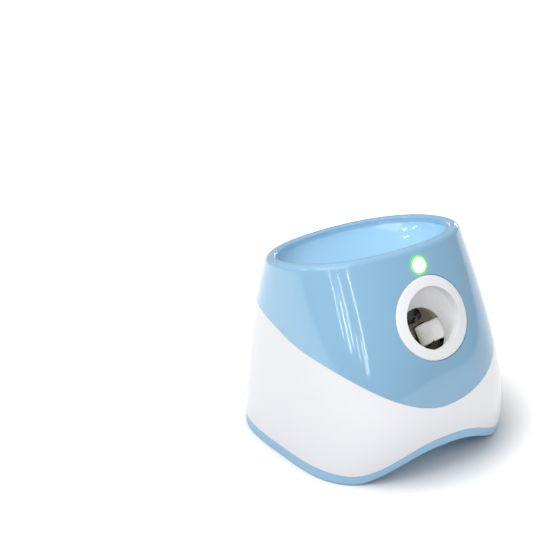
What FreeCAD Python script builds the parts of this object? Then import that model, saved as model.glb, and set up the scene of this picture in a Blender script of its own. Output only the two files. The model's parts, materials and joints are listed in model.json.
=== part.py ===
"""Automatic dog ball launcher: a tilted hopper over two flywheels that throw a mini tennis ball.

Millimetres, +Z up, the front with its port towards -Y, +X to the right of someone facing
the port.  The origin is the middle of the overall box on the floor plane.  Every function
named after a piece returns that piece, and the table at the end writes one file for each.

Three local frames are used.  A point of such a frame is (x, depth, up):
  port frame      depth runs square into the housing behind the port
  launch frame    depth runs down the ball's path, up is square to it, and the origin is
                  midway between the two flywheels
  rim frame       depth lies in the plane of the tilted hopper rim, up is that plane's normal
"""
import FreeCAD, Part
import math
import os

os.makedirs("parts", exist_ok=True)
V = FreeCAD.Vector

# ---------------------------------------------------------------- driving dimensions
BALL_R = 25.4                # a two-inch mini tennis ball

# outer form: a squarish base loop and a round, tilted rim loop, with a bulge between them
BASE_HALF_WIDTH = 125.0
BASE_HALF_DEPTH = 112.0
BASE_SQUARENESS = 3.7        # superellipse exponent
RIM_HALF_WIDTH = 109.0
RIM_HALF_DEPTH = 91.5
RIM_SQUARENESS = 2.18
RIM_CENTRE_Y = 24.0
RIM_HEIGHT = 216.0
RIM_TILT = 15.7              # the front of the rim is the high side
SIDE_BULGE = 5.7
FRONT_BULGE = 36.0
FRONT_BULGE_LOW = 0.39       # how far the front bulge leans to the low end
BACK_BULGE = 9.4
BOX_CENTRE_Y = -5.5          # middle of the overall depth, measured from the base loop's centre
WALL = 2.6
RIM_ROUND = 6.5
OUTLINE_POINTS = 24          # points of each loop of the form
OUTLINE_SPREAD = 1.25        # crowds those points where a squarish loop turns
LOFT_STEPS = 4               # steps between the floor and the rim

# the seam between the housings is a height over the plan angle, as a short cosine series
SEAM_HEIGHT = 127.5
SEAM_WAVES = (-18.4, -22.4, 2.9, -6.5)
SEAM_GAP = 0.35

# base tray: a band that rises over an arch at the front
BAND_HEIGHT = 11.8
ARCH_RISE = 32.5
ARCH_HALF_SPAN = 106.0
ARCH_SHARPNESS = 1.33
ARCH_DEPTH = 52.0
SKIRT_LIFT = 1.2             # the skirt stays this far off the floor
FLOOR_TOP = 5.2
FLOOR_THICKNESS = 2.4

# hopper
LIP_INSET = 11.6             # rim edge to the bowl
LIP_ROUND = 3.6
TOP_THICKNESS = 3.0
COLLAR_DEPTH = 7.0           # the upper housing's share of the bowl
HOPPER_WALL = 2.4
HOPPER_FLANGE = 3.2          # how far the bowl's flange stands out
THROAT_R = BALL_R + 2.6
THROAT_Y = -32.0
THROAT_TOP = 156.0
THROAT_BOTTOM = 149.0
BOWL_STEPS = 6
BOWL_FULLNESS = 2.0          # how late the wall leans in towards the throat
BOWL_STEEPNESS = 1.15

# port
PORT_BELOW_RIM = 43.7
PORT_SET_BACK = 2.8          # the port frame's origin behind the form's front
PORT_ANGLE = 27.4
BEZEL_R = 45.5
PORT_R = 33.7
BEZEL_PROUD = 0.6
MOUTH_R = 29.5               # inner end of the port's flare
MOUTH_DEPTH = 28.5
MOUTH_DROP = 17.0
FLARE_WALL = 2.4
FLANGE_R = 54.0
FLANGE_DEPTH = 13.0
BEND_DEPTH = 9.5             # the flare leaves the port's axis here
FLANGE_THICKNESS = 2.4
BEZEL_GAP = 0.3
BEZEL_LIP_ROUND = 2.6

# launch axis
LAUNCH_ANGLE = 40.9
LAUNCH_BEHIND_PORT = 43.5
LAUNCH_BELOW_PORT = 47.1
WHEEL_R = 30.0
WHEEL_WIDTH = 23.0
WHEEL_NIP = 2 * BALL_R - 4.8  # gap between the two tyres
TYRE_THICKNESS = 3.5
WHEEL_RIM = 3.0
WHEEL_WEB = 4.0
SPOKES = 6
WINDOW_CLEARANCE = 1.6
TROUGH_R = BALL_R + 1.0
TROUGH_WALL = 2.4
TROUGH_FRONT = -28.0
TROUGH_SIDES_FRONT = -14.0   # in front of this the trough is only a floor
TROUGH_FLOOR_UP = -13.0
TROUGH_BACK = 94.0
TROUGH_EDGE = 2.0
WING_DROP = 15.5
WING_THICKNESS = 3.0
WING_HALF_SPAN = 86.0
WING_FRONT = -32.0
WING_BACK = 36.0
POST_R = 5.0
FIT = 0.3                    # clearance between pieces that only face each other
RUNNING = 0.04               # radial clearance of a shaft in its bearing

# drop chute with the guards over the flywheels
CHUTE_WALL = 2.4
CHUTE_COLLAR = 3.0
GUARD_LOW = 14.6
GUARD_THICKNESS = 2.0
GUARD_FRONT = -33.0
GUARD_LEG_R = 3.4
HOOD_FRONT = -35.0

# launch motors
MOTOR_R = 14.0
MOTOR_LENGTH = 38.0
MOTOR_FLAT = 2.0             # depth of the can's two flats
MOTOR_BOSS_R = 4.0
MOTOR_BOSS_HEIGHT = 2.6
MOTOR_SCREW_R = 8.5          # circle that the motor's two screws stand on
SHAFT_R = 1.6

# ball feed
BALL_AT = 30.0               # the waiting ball's place on the launch axis
FEED_STROKE = 13.0
PUSHER_FRONT = 46.0
PUSHER_BACK = 76.0
PUSHER_TOP = 6.0
PUSHER_WALL = 2.4
PUSHER_GAP = 0.6             # between the ball and its cup
RACK_MODULE = 1.0
RACK_HALF_WIDTH = 4.0
RACK_PITCH_DROP = 32.5
RACK_FRONT = 48.0
RACK_TEETH = 11
PINION_TEETH = 14
PINION_AT = 64.0
FEED_SHAFT_R = 2.0
GEARBOX = (24.0, 26.0, 17.0)  # along X, along the launch axis, across it
GEARBOX_LEAD = 9.0           # gearbox in front of the pinion's axis
FEED_MOTOR_R = 8.0
FEED_MOTOR_LENGTH = 26.0
CHEEK_THICKNESS = 2.6
CHEEK_HALF = 16.0
CHEEK_LOW = 12.0
SENSOR_SIZE = (6.0, 4.4, 5.6)
SENSOR_BEHIND_BALL = 12.0
SENSOR_DROP = 7.0
SENSOR_DOME_R = 2.4

# power button
BUTTON_BELOW_TOP = 17.1      # under the front of the rim
BUTTON_SET_BACK = 0.5
BUTTON_R = 8.3
LIGHT_RING_R = 9.6
BUTTON_HEIGHT = 5.0
BUTTON_PROUD = 1.0
BUTTON_STEM_R = 2.0
LIGHT_RING_DEPTH = 7.0
LIGHT_RING_LIP = 1.6
SWITCH_BOARD_DEPTH = 9.2
SWITCH_BOARD_R = 10.4
SWITCH_HALF = 3.0
SWITCH_HEIGHT = 2.0

# battery bay: two rows of three C cells
CELL_R = 13.1
CELL_LENGTH = 50.0
CELL_ROWS = 2
CELLS_PER_ROW = 3
BAY_FROM_BACK = 50.0         # middle of the bay in front of the base loop's back
BAY_WALL = 2.0
BAY_FLANGE = 5.0
CELL_GAP = 0.4
SPRING_ROOM = 5.0
DOOR_THICKNESS = 2.2
DOOR_GAP = 0.4
GRIP_LINES = 4
HINGE_R = 1.5
HINGE_PLACES = (-52.0, 52.0)
HINGE_BACK = 3.4             # from the door's edge to its pins
HINGE_LUG_HALF = 5.0
HINGE_PIN_HALF = 8.0
HINGE_BLOCK_HALF = 10.0

# circuit board
BOARD_HALF_X = 50.0
BOARD_HALF_Y = 39.0
BOARD_Z = 42.0
BOARD_THICKNESS = 1.6
BOARD_MARGIN = 5.0
# places from the middle of the battery bay; the blocks give x, y, width, length and height
BOARD_CAPACITORS = ((-36, 16), (-24, 16), (-12, 20))
BOARD_BLOCKS = ((20, 14, 18, 14, 10), (44, 12, 18, 14, 10), (-6, -7, 14, 14, 2),
                (-36, -18, 8, 10, 5), (-20, -28, 12, 6, 7), (8, -28, 12, 6, 7),
                (34, -28, 12, 6, 7), (26, -7, 10, 8, 3))

# bosses, ribs and screws that hold the shells and the chassis
CHASSIS_POSTS = ((76.0, -86.0), (72.0, -44.0), (24.0, -2.0))
SHELL_SCREW_HEIGHT = 88.0
SHELL_POST_TOP = 184.0
SHELL_LUG = 2.7
HOUSING_POST_TOP = 70.0
RIB_X = 70.0
RIB_TOP = 172.0
RIB_DEPTH = 5.0
RIB_HALF = 0.8
WEB_ABOVE_SEAM = 5.0
BOSS_R = 4.6
SCREW_R = 1.35               # self-tapping screws of the shells and the chassis
SMALL_SCREW_R = 1.1
SCREW_FREE = 0.35            # a screw's free hole is this much larger than the screw
SCREW_HEAD_R = 3.0
SMALL_HEAD_R = 2.3
SCREW_HEAD_HEIGHT = 2.2

# feet and power inlet
FOOT_R = 8.0
FOOT_HEIGHT = 3.4
FOOT_CUP_WALL = 2.0
JACK_Z = 30.0
JACK_R = 5.6
JACK_FLANGE_R = 7.2
JACK_FLANGE_THICKNESS = 1.4
JACK_PROUD = 3.6             # floor of the inlet's pocket behind the base loop
JACK_BORE_R = 2.8
JACK_NUT_R = 8.0

FAR = 200.0                  # a cutting block's reach, beyond the whole object

# ---------------------------------------------------------------- derived values
WHEEL_X = WHEEL_NIP / 2 + WHEEL_R
WING_TOP = -WING_DROP
WING_BOTTOM = WING_TOP - WING_THICKNESS
TROUGH_OUT_R = TROUGH_R + TROUGH_WALL
BALL_DROP = TROUGH_R - BALL_R - FIT
PINION_R = RACK_MODULE * PINION_TEETH / 2
PINION_UP = -RACK_PITCH_DROP - PINION_R
BAY_Y = BASE_HALF_DEPTH - BAY_FROM_BACK
BAY_LENGTH = CELLS_PER_ROW * CELL_LENGTH + 2 * SPRING_ROOM
BAY_DEPTH = CELL_ROWS * (2 * CELL_R + CELL_GAP) + CELL_GAP
BAY_HEIGHT = 2 * CELL_R + 1.2
BAY_LOW = FLOOR_TOP - FLOOR_THICKNESS
BAY_FRONT = BAY_Y - BAY_DEPTH / 2
BAY_BACK = BAY_Y + BAY_DEPTH / 2
BAY_SILL = BAY_LOW + DOOR_THICKNESS + FIT
BAY_TOP = BAY_SILL + BAY_HEIGHT
CELL_Z = BAY_SILL + CELL_R
DOOR_BACK = BAY_BACK + BAY_WALL
HINGE_Y = DOOR_BACK + HINGE_BACK
HINGE_Z = BAY_LOW + 1.3
BOARD_POSTS = [(x * BOARD_HALF_X, BAY_Y + y * BOARD_HALF_Y) for x in (-1, 1) for y in (-1, 1)]
FOOT_PLACES = [(side * (BASE_HALF_WIDTH - inset), y) for side in (-1, 1)
               for inset, y in ((24.0, -48.0), (28.0, BASE_HALF_DEPTH - 28.0))]
HOUSING_SCREW_PLACES = [(side * (BASE_HALF_WIDTH - inset), y) for side in (-1, 1)
                        for inset, y in ((41.0, -52.0), (27.0, BASE_HALF_DEPTH - 54.0))]
SHELL_SCREW_PLACES = [(side * (RIM_HALF_WIDTH + inset), y) for side in (-1, 1)
                      for inset, y in ((1.0, -20.0), (-49.0, BASE_HALF_DEPTH - 16.0))]
JACK_FACE_Y = BASE_HALF_DEPTH + JACK_PROUD
VAULT_BACK = ARCH_DEPTH - BASE_HALF_DEPTH
CHUTE_TOP = THROAT_BOTTOM - FIT
CHUTE_R = THROAT_R - 0.5
CHEEK_X = RACK_HALF_WIDTH + 2.6 + CHEEK_THICKNESS / 2
GEARBOX_X = CHEEK_X + CHEEK_THICKNESS / 2
BEZEL_SCREWS = [(FLANGE_R - 5.0, 45.0 + 90.0 * k) for k in range(4)]


# ---------------------------------------------------------------- small helpers
def frame(y, z, angle):
    """Placement of a local frame that is turned about X, so that its depth axis goes down."""
    return FreeCAD.Placement(V(0, y, z), FreeCAD.Rotation(V(1, 0, 0), -angle))


BODY = FreeCAD.Placement()
RIM = frame(RIM_CENTRE_Y, RIM_HEIGHT, RIM_TILT)


def placed(shape, where):
    """A copy of the shape, moved from a local frame into the body's."""
    moved = shape.copy()
    moved.Placement = where.multiply(moved.Placement)
    return moved


def cylinder(r, start, end, where=BODY):
    """Solid cylinder between two points."""
    a, b = V(*start), V(*end)
    return placed(Part.makeCylinder(r, (b - a).Length, a, b - a), where)


def upright(r, x, y, low, high):
    """Solid cylinder that stands on a plan point."""
    return cylinder(r, (x, y, low), (x, y, high))


def deep(r, x, up, start, end, where):
    """Solid cylinder along a local frame's depth axis."""
    return cylinder(r, (x, start, up), (x, end, up), where)


def across(r, x, depth, low, high, where):
    """Solid cylinder along a local frame's up axis."""
    return cylinder(r, (x, depth, low), (x, depth, high), where)


def sideways(r, left, right, depth, up, where=BODY):
    """Solid cylinder along X."""
    return cylinder(r, (left, depth, up), (right, depth, up), where)


def cone(r1, r2, start, end, where=BODY):
    """Solid cone between two points."""
    a, b = V(*start), V(*end)
    return placed(Part.makeCone(r1, r2, (b - a).Length, a, b - a), where)


def block(low, high, where=BODY):
    """Box between two corners."""
    size = [h - l for l, h in zip(low, high)]
    return placed(Part.makeBox(*size, V(*low)), where)


def joined(shapes):
    """One solid out of shapes that overlap or share a face."""
    shapes = list(shapes)
    solid = shapes[0].multiFuse(shapes[1:]) if len(shapes) > 1 else shapes[0]
    return solid.removeSplitter()


def without(solid, tools):
    """The solid with all the tools cut off it."""
    return solid.cut(list(tools))


def largest(shape):
    """The biggest solid of a shape, which drops crumbs that a cut leaves."""
    return max(shape.Solids, key=lambda s: s.Volume)


def mirrored(shape):
    """The mirror image in the plane x = 0."""
    return shape.mirror(V(0, 0, 0), V(1, 0, 0))


def both_sides(shape):
    """The shape and its mirror image in the plane x = 0."""
    return [shape, mirrored(shape)]


def power(value, exponent):
    """value to a power, keeping its sign."""
    return math.copysign(abs(value) ** exponent, value)


def polar(radius, degrees):
    """Local x and up of a place on a circle."""
    a = math.radians(degrees)
    return radius * math.sin(a), radius * math.cos(a)


def closed_wire(points):
    """Smooth closed wire through the points."""
    curve = Part.BSplineCurve()
    curve.interpolate(Points=[V(*p) for p in points], PeriodicFlag=True)
    return Part.Wire([curve.toShape()])


# ---------------------------------------------------------------- outer form
def plan_angles():
    """Angles round the plan, closer together where a squarish loop turns; they start at the back."""
    for k in range(OUTLINE_POINTS):
        v = math.pi + 2 * math.pi * k / OUTLINE_POINTS
        yield math.atan2(power(math.sin(v), OUTLINE_SPREAD), power(math.cos(v), OUTLINE_SPREAD))


def rim_point(angle, inset, up=0.0):
    """Point of the rim loop in the rim frame; angle 0 is the front."""
    x = (RIM_HALF_WIDTH - inset) * power(math.sin(angle), 2 / RIM_SQUARENESS)
    depth = -(RIM_HALF_DEPTH - inset) * power(math.cos(angle), 2 / RIM_SQUARENESS)
    return x, depth, up


def body_point(angle, s, inset=0.0, top_drop=0.0):
    """Point of the outer form, s = 0 at the floor and 1 at the rim's plane."""
    bx = (BASE_HALF_WIDTH - inset) * power(math.sin(angle), 2 / BASE_SQUARENESS)
    by = -(BASE_HALF_DEPTH - inset) * power(math.cos(angle), 2 / BASE_SQUARENESS)
    top = RIM.multVec(V(*rim_point(angle, inset, -top_drop)))
    hump = 4 * s * (1 - s)
    if math.cos(angle) > 0:
        swell = FRONT_BULGE * (1 + FRONT_BULGE_LOW * (1 - 2 * s)) * math.cos(angle) ** (4 / 3)
    else:
        swell = BACK_BULGE * math.cos(angle)
    x = (1 - s) * bx + s * top.x + hump * SIDE_BULGE * math.sin(angle)
    y = (1 - s) * by + s * top.y - hump * swell
    return x, y, s * top.z


def body_form(inset=0.0, top_drop=0.0):
    """The whole outer form as one solid, drawn in by an inset."""
    wires = []
    for step in range(LOFT_STEPS + 1):
        s = step / LOFT_STEPS
        wires.append(closed_wire([body_point(a, s, inset, top_drop) for a in plan_angles()]))
    return Part.makeLoft(wires, True, False)


def rounded_form():
    """The outer form with its rim's outer edge rounded over."""
    form = body_form()
    edge = max(form.Edges, key=lambda e: e.CenterOfMass.z)
    return form.makeFillet(RIM_ROUND, [edge])


def front_at(z):
    """Y of the form's front at a height, in the middle plane."""
    return body_point(0.0, z / body_point(0.0, 1.0)[2])[1]


def seam_height(x, y):
    """Height of the seam between the housings over a plan position."""
    angle = math.atan2(x, -y)
    return SEAM_HEIGHT + sum(w * math.cos((k + 1) * angle) for k, w in enumerate(SEAM_WAVES))


def under_seam(offset, inner=55.0, outer=190.0):
    """Ring of material below the seam, raised or lowered by an offset."""
    def loop(radius, height=None):
        points = []
        for k in range(OUTLINE_POINTS):
            x, y = polar(radius, 360.0 * k / OUTLINE_POINTS)
            points.append((x, -y, seam_height(x, -y) + offset if height is None else height))
        return closed_wire(points)
    loops = [loop(inner), loop(outer), loop(outer, -30.0), loop(inner, -30.0)]
    faces = []
    for a, b in zip(loops, loops[1:] + loops[:1]):
        faces += Part.makeRuledSurface(a, b).Faces
    solid = Part.makeSolid(Part.makeShell(faces))
    return solid if solid.Volume > 0 else solid.reversed()


def arch_height(x):
    """Height of the front arch's underside at a distance from the middle."""
    share = min(abs(x) / ARCH_HALF_SPAN, 1.0)
    return ARCH_RISE * (0.5 + 0.5 * math.cos(math.pi * share ** ARCH_SHARPNESS))


def under_arch(offset, back, low=-20.0):
    """Prism under the arch's curve, raised by an offset, from far in front to a depth."""
    half = ARCH_HALF_SPAN + 60.0
    xs = [ARCH_HALF_SPAN * k / 12 for k in range(-12, 13)]
    curve = Part.BSplineCurve()
    curve.interpolate([V(x, -FAR, arch_height(x) + offset) for x in xs],
                      InitialTangent=V(1, 0, 0), FinalTangent=V(1, 0, 0))
    side = [V(ARCH_HALF_SPAN, -FAR, offset), V(half, -FAR, offset), V(half, -FAR, low),
            V(-half, -FAR, low), V(-half, -FAR, offset), V(-ARCH_HALF_SPAN, -FAR, offset)]
    wire = Part.Wire([curve.toShape()] + [Part.makeLine(a, b) for a, b in zip(side, side[1:])])
    return Part.Face(wire).extrude(V(0, FAR + back, 0))


def under_band(offset):
    """Everything below the top of the base band."""
    height = BAND_HEIGHT + offset
    back = block((-FAR, -0.5, -20), (FAR, FAR, height))
    return joined([under_arch(height, 0.0), back])


def rim_prism(inset, low, high):
    """Slug with the rim's outline, drawn in by an inset, between two heights of the rim frame."""
    wire = closed_wire([rim_point(a, inset, low) for a in plan_angles()])
    return placed(Part.Face(wire).extrude(V(0, 0, high - low)), RIM)


PORT_Z = RIM_HEIGHT - PORT_BELOW_RIM
PORT_Y = front_at(PORT_Z) + PORT_SET_BACK
PORT = frame(PORT_Y, PORT_Z, PORT_ANGLE)
LAUNCH = frame(PORT_Y + LAUNCH_BEHIND_PORT, PORT_Z - LAUNCH_BELOW_PORT, LAUNCH_ANGLE)
BUTTON_Z = body_point(0.0, 1.0)[2] - BUTTON_BELOW_TOP
BUTTON = frame(front_at(BUTTON_Z) + BUTTON_SET_BACK, BUTTON_Z, PORT_ANGLE)


# ---------------------------------------------------------------- housings
OUTER = rounded_form()
INNER = body_form(WALL, TOP_THICKNESS)
TRIM = body_form(1.0, 1.0)   # what is fused to a wall is cut off inside the wall
SHELL = OUTER.cut(INNER)


def shell_webs():
    """Ribs of the upper shell beside the port and behind its screw posts, clear of the seam."""
    webs = [block((x - RIB_HALF, -FAR, 60), (x + RIB_HALF, FAR, RIB_TOP)) for x in (-RIB_X, RIB_X)]
    for x, y in SHELL_SCREW_PLACES:
        webs.append(arm((x, y), (1.4 * x, 1.4 * y), RIB_HALF, 60, RIB_TOP))
    hollow = body_form(WALL + RIB_DEPTH, TOP_THICKNESS + RIB_DEPTH)
    posts = [upright(BOSS_R + 15.0, x, y, 60, FAR) for x, y in SHELL_SCREW_PLACES]
    kept = [web.cut(hollow.cut(posts)).cut(under_seam(WEB_ABOVE_SEAM)) for web in webs]
    return [solid for web in kept for solid in web.Solids]


def arm(start, end, half_width, low, high):
    """Upright slab on plan from one point to another."""
    a, b = V(start[0], start[1], low), V(end[0], end[1], low)
    along = b - a
    side = V(-along.y, along.x, 0)
    side.normalize()
    side = side * half_width
    corners = [a + side, b + side, b - side, a - side, a + side]
    return Part.Face(Part.makePolygon(corners)).extrude(V(0, 0, high - low))


def upper_housing():
    """Blue upper shell: rolled rim, top of the bowl, port and button holes, bosses and ribs."""
    collar = rim_prism(-10.0, -COLLAR_DEPTH, -TOP_THICKNESS / 2).common(bowl(-HOPPER_WALL))
    rim = OUTER.cut(INNER.cut(collar)).cut(bowl(0.0)).cut(lip_cutter())
    shell = rim.cut(under_seam(SEAM_GAP / 2))
    bosses = []
    for radius, degrees in BEZEL_SCREWS:
        x, up = polar(radius, degrees)
        bosses.append(deep(BOSS_R, x, up, -12, FLANGE_DEPTH - FIT, PORT))
    for x, y in SHELL_SCREW_PLACES:
        bosses.append(upright(BOSS_R, x, y, SHELL_SCREW_HEIGHT + SHELL_LUG + FIT, SHELL_POST_TOP))
    holes = []
    for radius, degrees in BEZEL_SCREWS:
        x, up = polar(radius, degrees)
        holes.append(deep(SCREW_R, x, up, FLANGE_DEPTH - 7, FLANGE_DEPTH + 1, PORT))
    for x, y in SHELL_SCREW_PLACES:
        holes.append(upright(SCREW_R, x, y, SHELL_SCREW_HEIGHT, SHELL_SCREW_HEIGHT + 14))
    inner_parts = without(joined(bosses + shell_webs()).common(TRIM), holes)
    solid = shell.fuse(inner_parts.Solids)
    solid = solid.cut(deep(BEZEL_R + BEZEL_GAP, 0, 0, -30, FLANGE_DEPTH - FIT, PORT))
    solid = solid.cut(deep(LIGHT_RING_R + BEZEL_GAP, 0, 0, -20, BUTTON_HEIGHT + 3, BUTTON))
    return largest(solid)


def lip_cutter():
    """Slug that rounds the edge between the rim's flat top and the bowl, by a quarter circle."""
    wires = []
    for degrees in (63.0, 49.0, 35.0, 21.0):
        across_lip, down = polar(LIP_ROUND, degrees)
        inset, up = LIP_INSET - LIP_ROUND + across_lip, down - LIP_ROUND
        wires.append(placed(closed_wire([rim_point(a, inset, up) for a in plan_angles()]), RIM))
    return Part.makeLoft(wires, True, False).fuse(rim_prism(inset, up, 20.0))


def lower_housing():
    """White lower shell: it stands on the tray's band and its lugs carry the upper shell."""
    shell = SHELL.common(under_seam(-SEAM_GAP / 2)).cut(under_band(SEAM_GAP / 2))
    inside = []
    holes = []
    for x, y in HOUSING_SCREW_PLACES:
        base = tray_boss_top(x, y)
        inside.append(upright(BOSS_R, x, y, base, HOUSING_POST_TOP))
        inside.append(arm((x, y), (x + math.copysign(60, x), y), RIB_HALF, base, HOUSING_POST_TOP))
        holes.append(upright(SCREW_R, x, y, base - 1, base + 13))
    lug_top = SHELL_SCREW_HEIGHT + SHELL_LUG
    for x, y in SHELL_SCREW_PLACES:
        inside.append(upright(BOSS_R, x, y, SHELL_SCREW_HEIGHT, lug_top))
        inside.append(arm((x, y), (1.4 * x, 1.4 * y), BOSS_R, SHELL_SCREW_HEIGHT, lug_top))
        holes.append(upright(SCREW_R + SCREW_FREE, x, y, SHELL_SCREW_HEIGHT - 1, lug_top + 1))
    pocket_r = JACK_FLANGE_R + 0.4
    inside.append(cylinder(pocket_r + 2.1, (0, JACK_FACE_Y - 4, JACK_Z), (0, FAR, JACK_Z)))
    solid = joined([shell, without(joined(inside).common(TRIM), holes)])
    solid = solid.cut(cylinder(pocket_r, (0, JACK_FACE_Y, JACK_Z), (0, FAR, JACK_Z)))
    solid = solid.cut(cylinder(JACK_R + 0.15, (0, BAY_Y, JACK_Z), (0, FAR, JACK_Z)))
    return largest(solid)


def tray_boss_top(x, y):
    """Height where the lower housing's posts meet the tray's bosses."""
    return tray_level(x, y) + 8.0


# ---------------------------------------------------------------- base tray
def tray_level(x, y):
    """Height of the tray's upper face below a post or boss at a plan position."""
    if y > VAULT_BACK + FLOOR_THICKNESS + POST_R:
        return FLOOR_TOP
    return max(FLOOR_TOP, arch_height(abs(x) - POST_R - 2.2) + FLOOR_THICKNESS)


def base_tray():
    """Blue tray: a band on the outside, a floor, an arch vault at the front and bosses."""
    band = SHELL.common(under_band(-SEAM_GAP / 2))
    vault = under_arch(FLOOR_THICKNESS, VAULT_BACK + FLOOR_THICKNESS)
    vault = vault.cut(block((-FAR, -FAR, -30), (FAR, FAR, BAY_LOW)))
    floor = block((-FAR, -FAR, BAY_LOW), (FAR, FAR, FLOOR_TOP))
    pieces = [band, joined([floor, vault]).common(TRIM)]
    head_seat = {}
    for x, y in HOUSING_SCREW_PLACES:
        head_seat[x, y] = tray_boss_top(x, y) - 4.0
        pieces.append(upright(BOSS_R, x, y, BAY_LOW, tray_boss_top(x, y) - FIT))
    cups = []
    for x, y in chassis_feet():
        level = tray_level(x, y)
        head_seat[x, y] = level - 2.0
        pieces.append(upright(POST_R + 2.2, x, y, BAY_LOW, level + 6))
        cups.append(upright(POST_R + 0.2, x, y, level, level + 40))
    for x, y in BOARD_POSTS:
        pieces.append(upright(3.2, x, y, BAY_LOW, BOARD_Z - FIT / 3))
    for x, y in FOOT_PLACES:
        pieces.append(upright(FOOT_R + FOOT_CUP_WALL, x, y, SKIRT_LIFT, FLOOR_TOP))
    bay_x = BAY_LENGTH / 2 + BAY_WALL + DOOR_GAP
    bay_y = BAY_DEPTH / 2 + BAY_WALL + DOOR_GAP
    tools = cups + hinge_pockets() + [
        under_arch(0.0, VAULT_BACK),
        block((-FAR, -FAR, -20), (FAR, FAR, SKIRT_LIFT)),
        block((-bay_x, BAY_Y - bay_y, -5), (bay_x, BAY_Y + bay_y, 60))]
    for x, y in FOOT_PLACES:
        tools.append(upright(FOOT_R + 0.15, x, y, -5, FOOT_HEIGHT))
    for x, y in BOARD_POSTS:
        tools.append(upright(SMALL_SCREW_R + 0.05, x, y, BOARD_Z - 9, BOARD_Z + 1))
    for (x, y), seat in head_seat.items():
        tools.append(upright(SCREW_R + SCREW_FREE, x, y, -5, 60))
        tools.append(upright(SCREW_HEAD_R + 0.5, x, y, -5, seat))
    return largest(without(joined(pieces + hinge_blocks()), tools))


def chassis_feet():
    """Plan places of the chassis posts on both sides."""
    return [(side * x, y) for x, y in CHASSIS_POSTS for side in (-1, 1)]


# ---------------------------------------------------------------- port and hopper
def port_bezel():
    """White port ring, flush with the housing, its oblique flare and its screw flange."""
    back = FLANGE_DEPTH + FLANGE_THICKNESS
    face = deep(BEZEL_R, 0, 0, -20, back, PORT).common(body_form(-BEZEL_PROUD))
    face = face.cut(deep(PORT_R, 0, 0, -20, BEND_DEPTH, PORT))
    face = face.makeFillet(BEZEL_LIP_ROUND, [e for e in face.Edges if is_port_lip(e)])
    flange = deep(FLANGE_R, 0, 0, FLANGE_DEPTH, back, PORT).common(body_form(WALL + 0.6))
    tools = [flare(0.0, 1.3)]
    for radius, degrees in BEZEL_SCREWS:
        x, up = polar(radius, degrees)
        tools.append(deep(SCREW_R + SCREW_FREE, x, up, FLANGE_DEPTH - 2, back + 2, PORT))
    return largest(without(joined([face, flange, flare(FLARE_WALL)]), tools))


def is_port_lip(edge):
    """True for the edge where the port's hole meets the ring's face."""
    local = PORT.inverse().multVec(edge.CenterOfMass)
    return local.y < 5.0 and abs(edge.BoundBox.XLength - 2 * PORT_R) < 3.0


def flare(wall, reach=1.0):
    """Oblique cone from behind the ring down to the flare's mouth, and past it by its reach."""
    def loop(t):
        centre = V(0, BEND_DEPTH + t * (MOUTH_DEPTH - BEND_DEPTH), -MOUTH_DROP * t)
        circle = Part.makeCircle(PORT_R + (MOUTH_R - PORT_R) * t + wall, centre, V(0, 1, 0))
        return Part.Wire([placed(circle, PORT)])
    return Part.makeLoft([loop(0.0), loop(reach)], True, True)


def bowl_point(angle, t, inset):
    """Point of the bowl; t runs from 0 in the rim's plane to 1 at the throat."""
    top = RIM.multVec(V(*rim_point(angle, LIP_INSET + inset)))
    along = math.atan2(top.x, RIM_CENTRE_Y - top.y)
    radius = THROAT_R - inset
    end = V(radius * math.sin(along), THROAT_Y - radius * math.cos(along), THROAT_TOP)
    lean = t ** BOWL_FULLNESS
    drop = 1 - (1 - t) ** BOWL_STEEPNESS
    return (top.x + (end.x - top.x) * lean, top.y + (end.y - top.y) * lean,
            top.z + (end.z - top.z) * drop)


def bowl(inset):
    """Solid of the bowl from the rim's plane to the throat, drawn in by an inset."""
    wires = []
    for k in range(BOWL_STEPS + 1):
        wires.append(closed_wire([bowl_point(a, k / BOWL_STEPS, inset) for a in plan_angles()]))
    return Part.makeLoft(wires, True, False)


def hopper_funnel():
    """Blue bowl that hangs under the rim and guides the balls into the throat."""
    above = rim_prism(-10.0, -COLLAR_DEPTH, 20.0)
    wall = bowl(-HOPPER_WALL).cut(bowl(0.0)).cut(above)
    inside = body_form(WALL + FIT, TOP_THICKNESS)
    flange = rim_prism(LIP_INSET - HOPPER_WALL - HOPPER_FLANGE, -COLLAR_DEPTH - 2.0, -COLLAR_DEPTH)
    flange = flange.common(inside).cut(bowl(-HOPPER_WALL / 2))
    spigot = upright(THROAT_R + HOPPER_WALL + 0.8, 0, THROAT_Y, THROAT_BOTTOM, THROAT_TOP)
    spigot = spigot.cut(upright(THROAT_R - 0.3, 0, THROAT_Y, THROAT_BOTTOM, THROAT_TOP))
    return largest(wall.fuse([flange, spigot]))


# ---------------------------------------------------------------- launch chassis
def wheel_space():
    """The room that both flywheels need, with their running clearance."""
    half = WHEEL_WIDTH / 2 + WINDOW_CLEARANCE
    return both_sides(across(WHEEL_R + WINDOW_CLEARANCE, WHEEL_X, 0, -half, half, LAUNCH))


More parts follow.
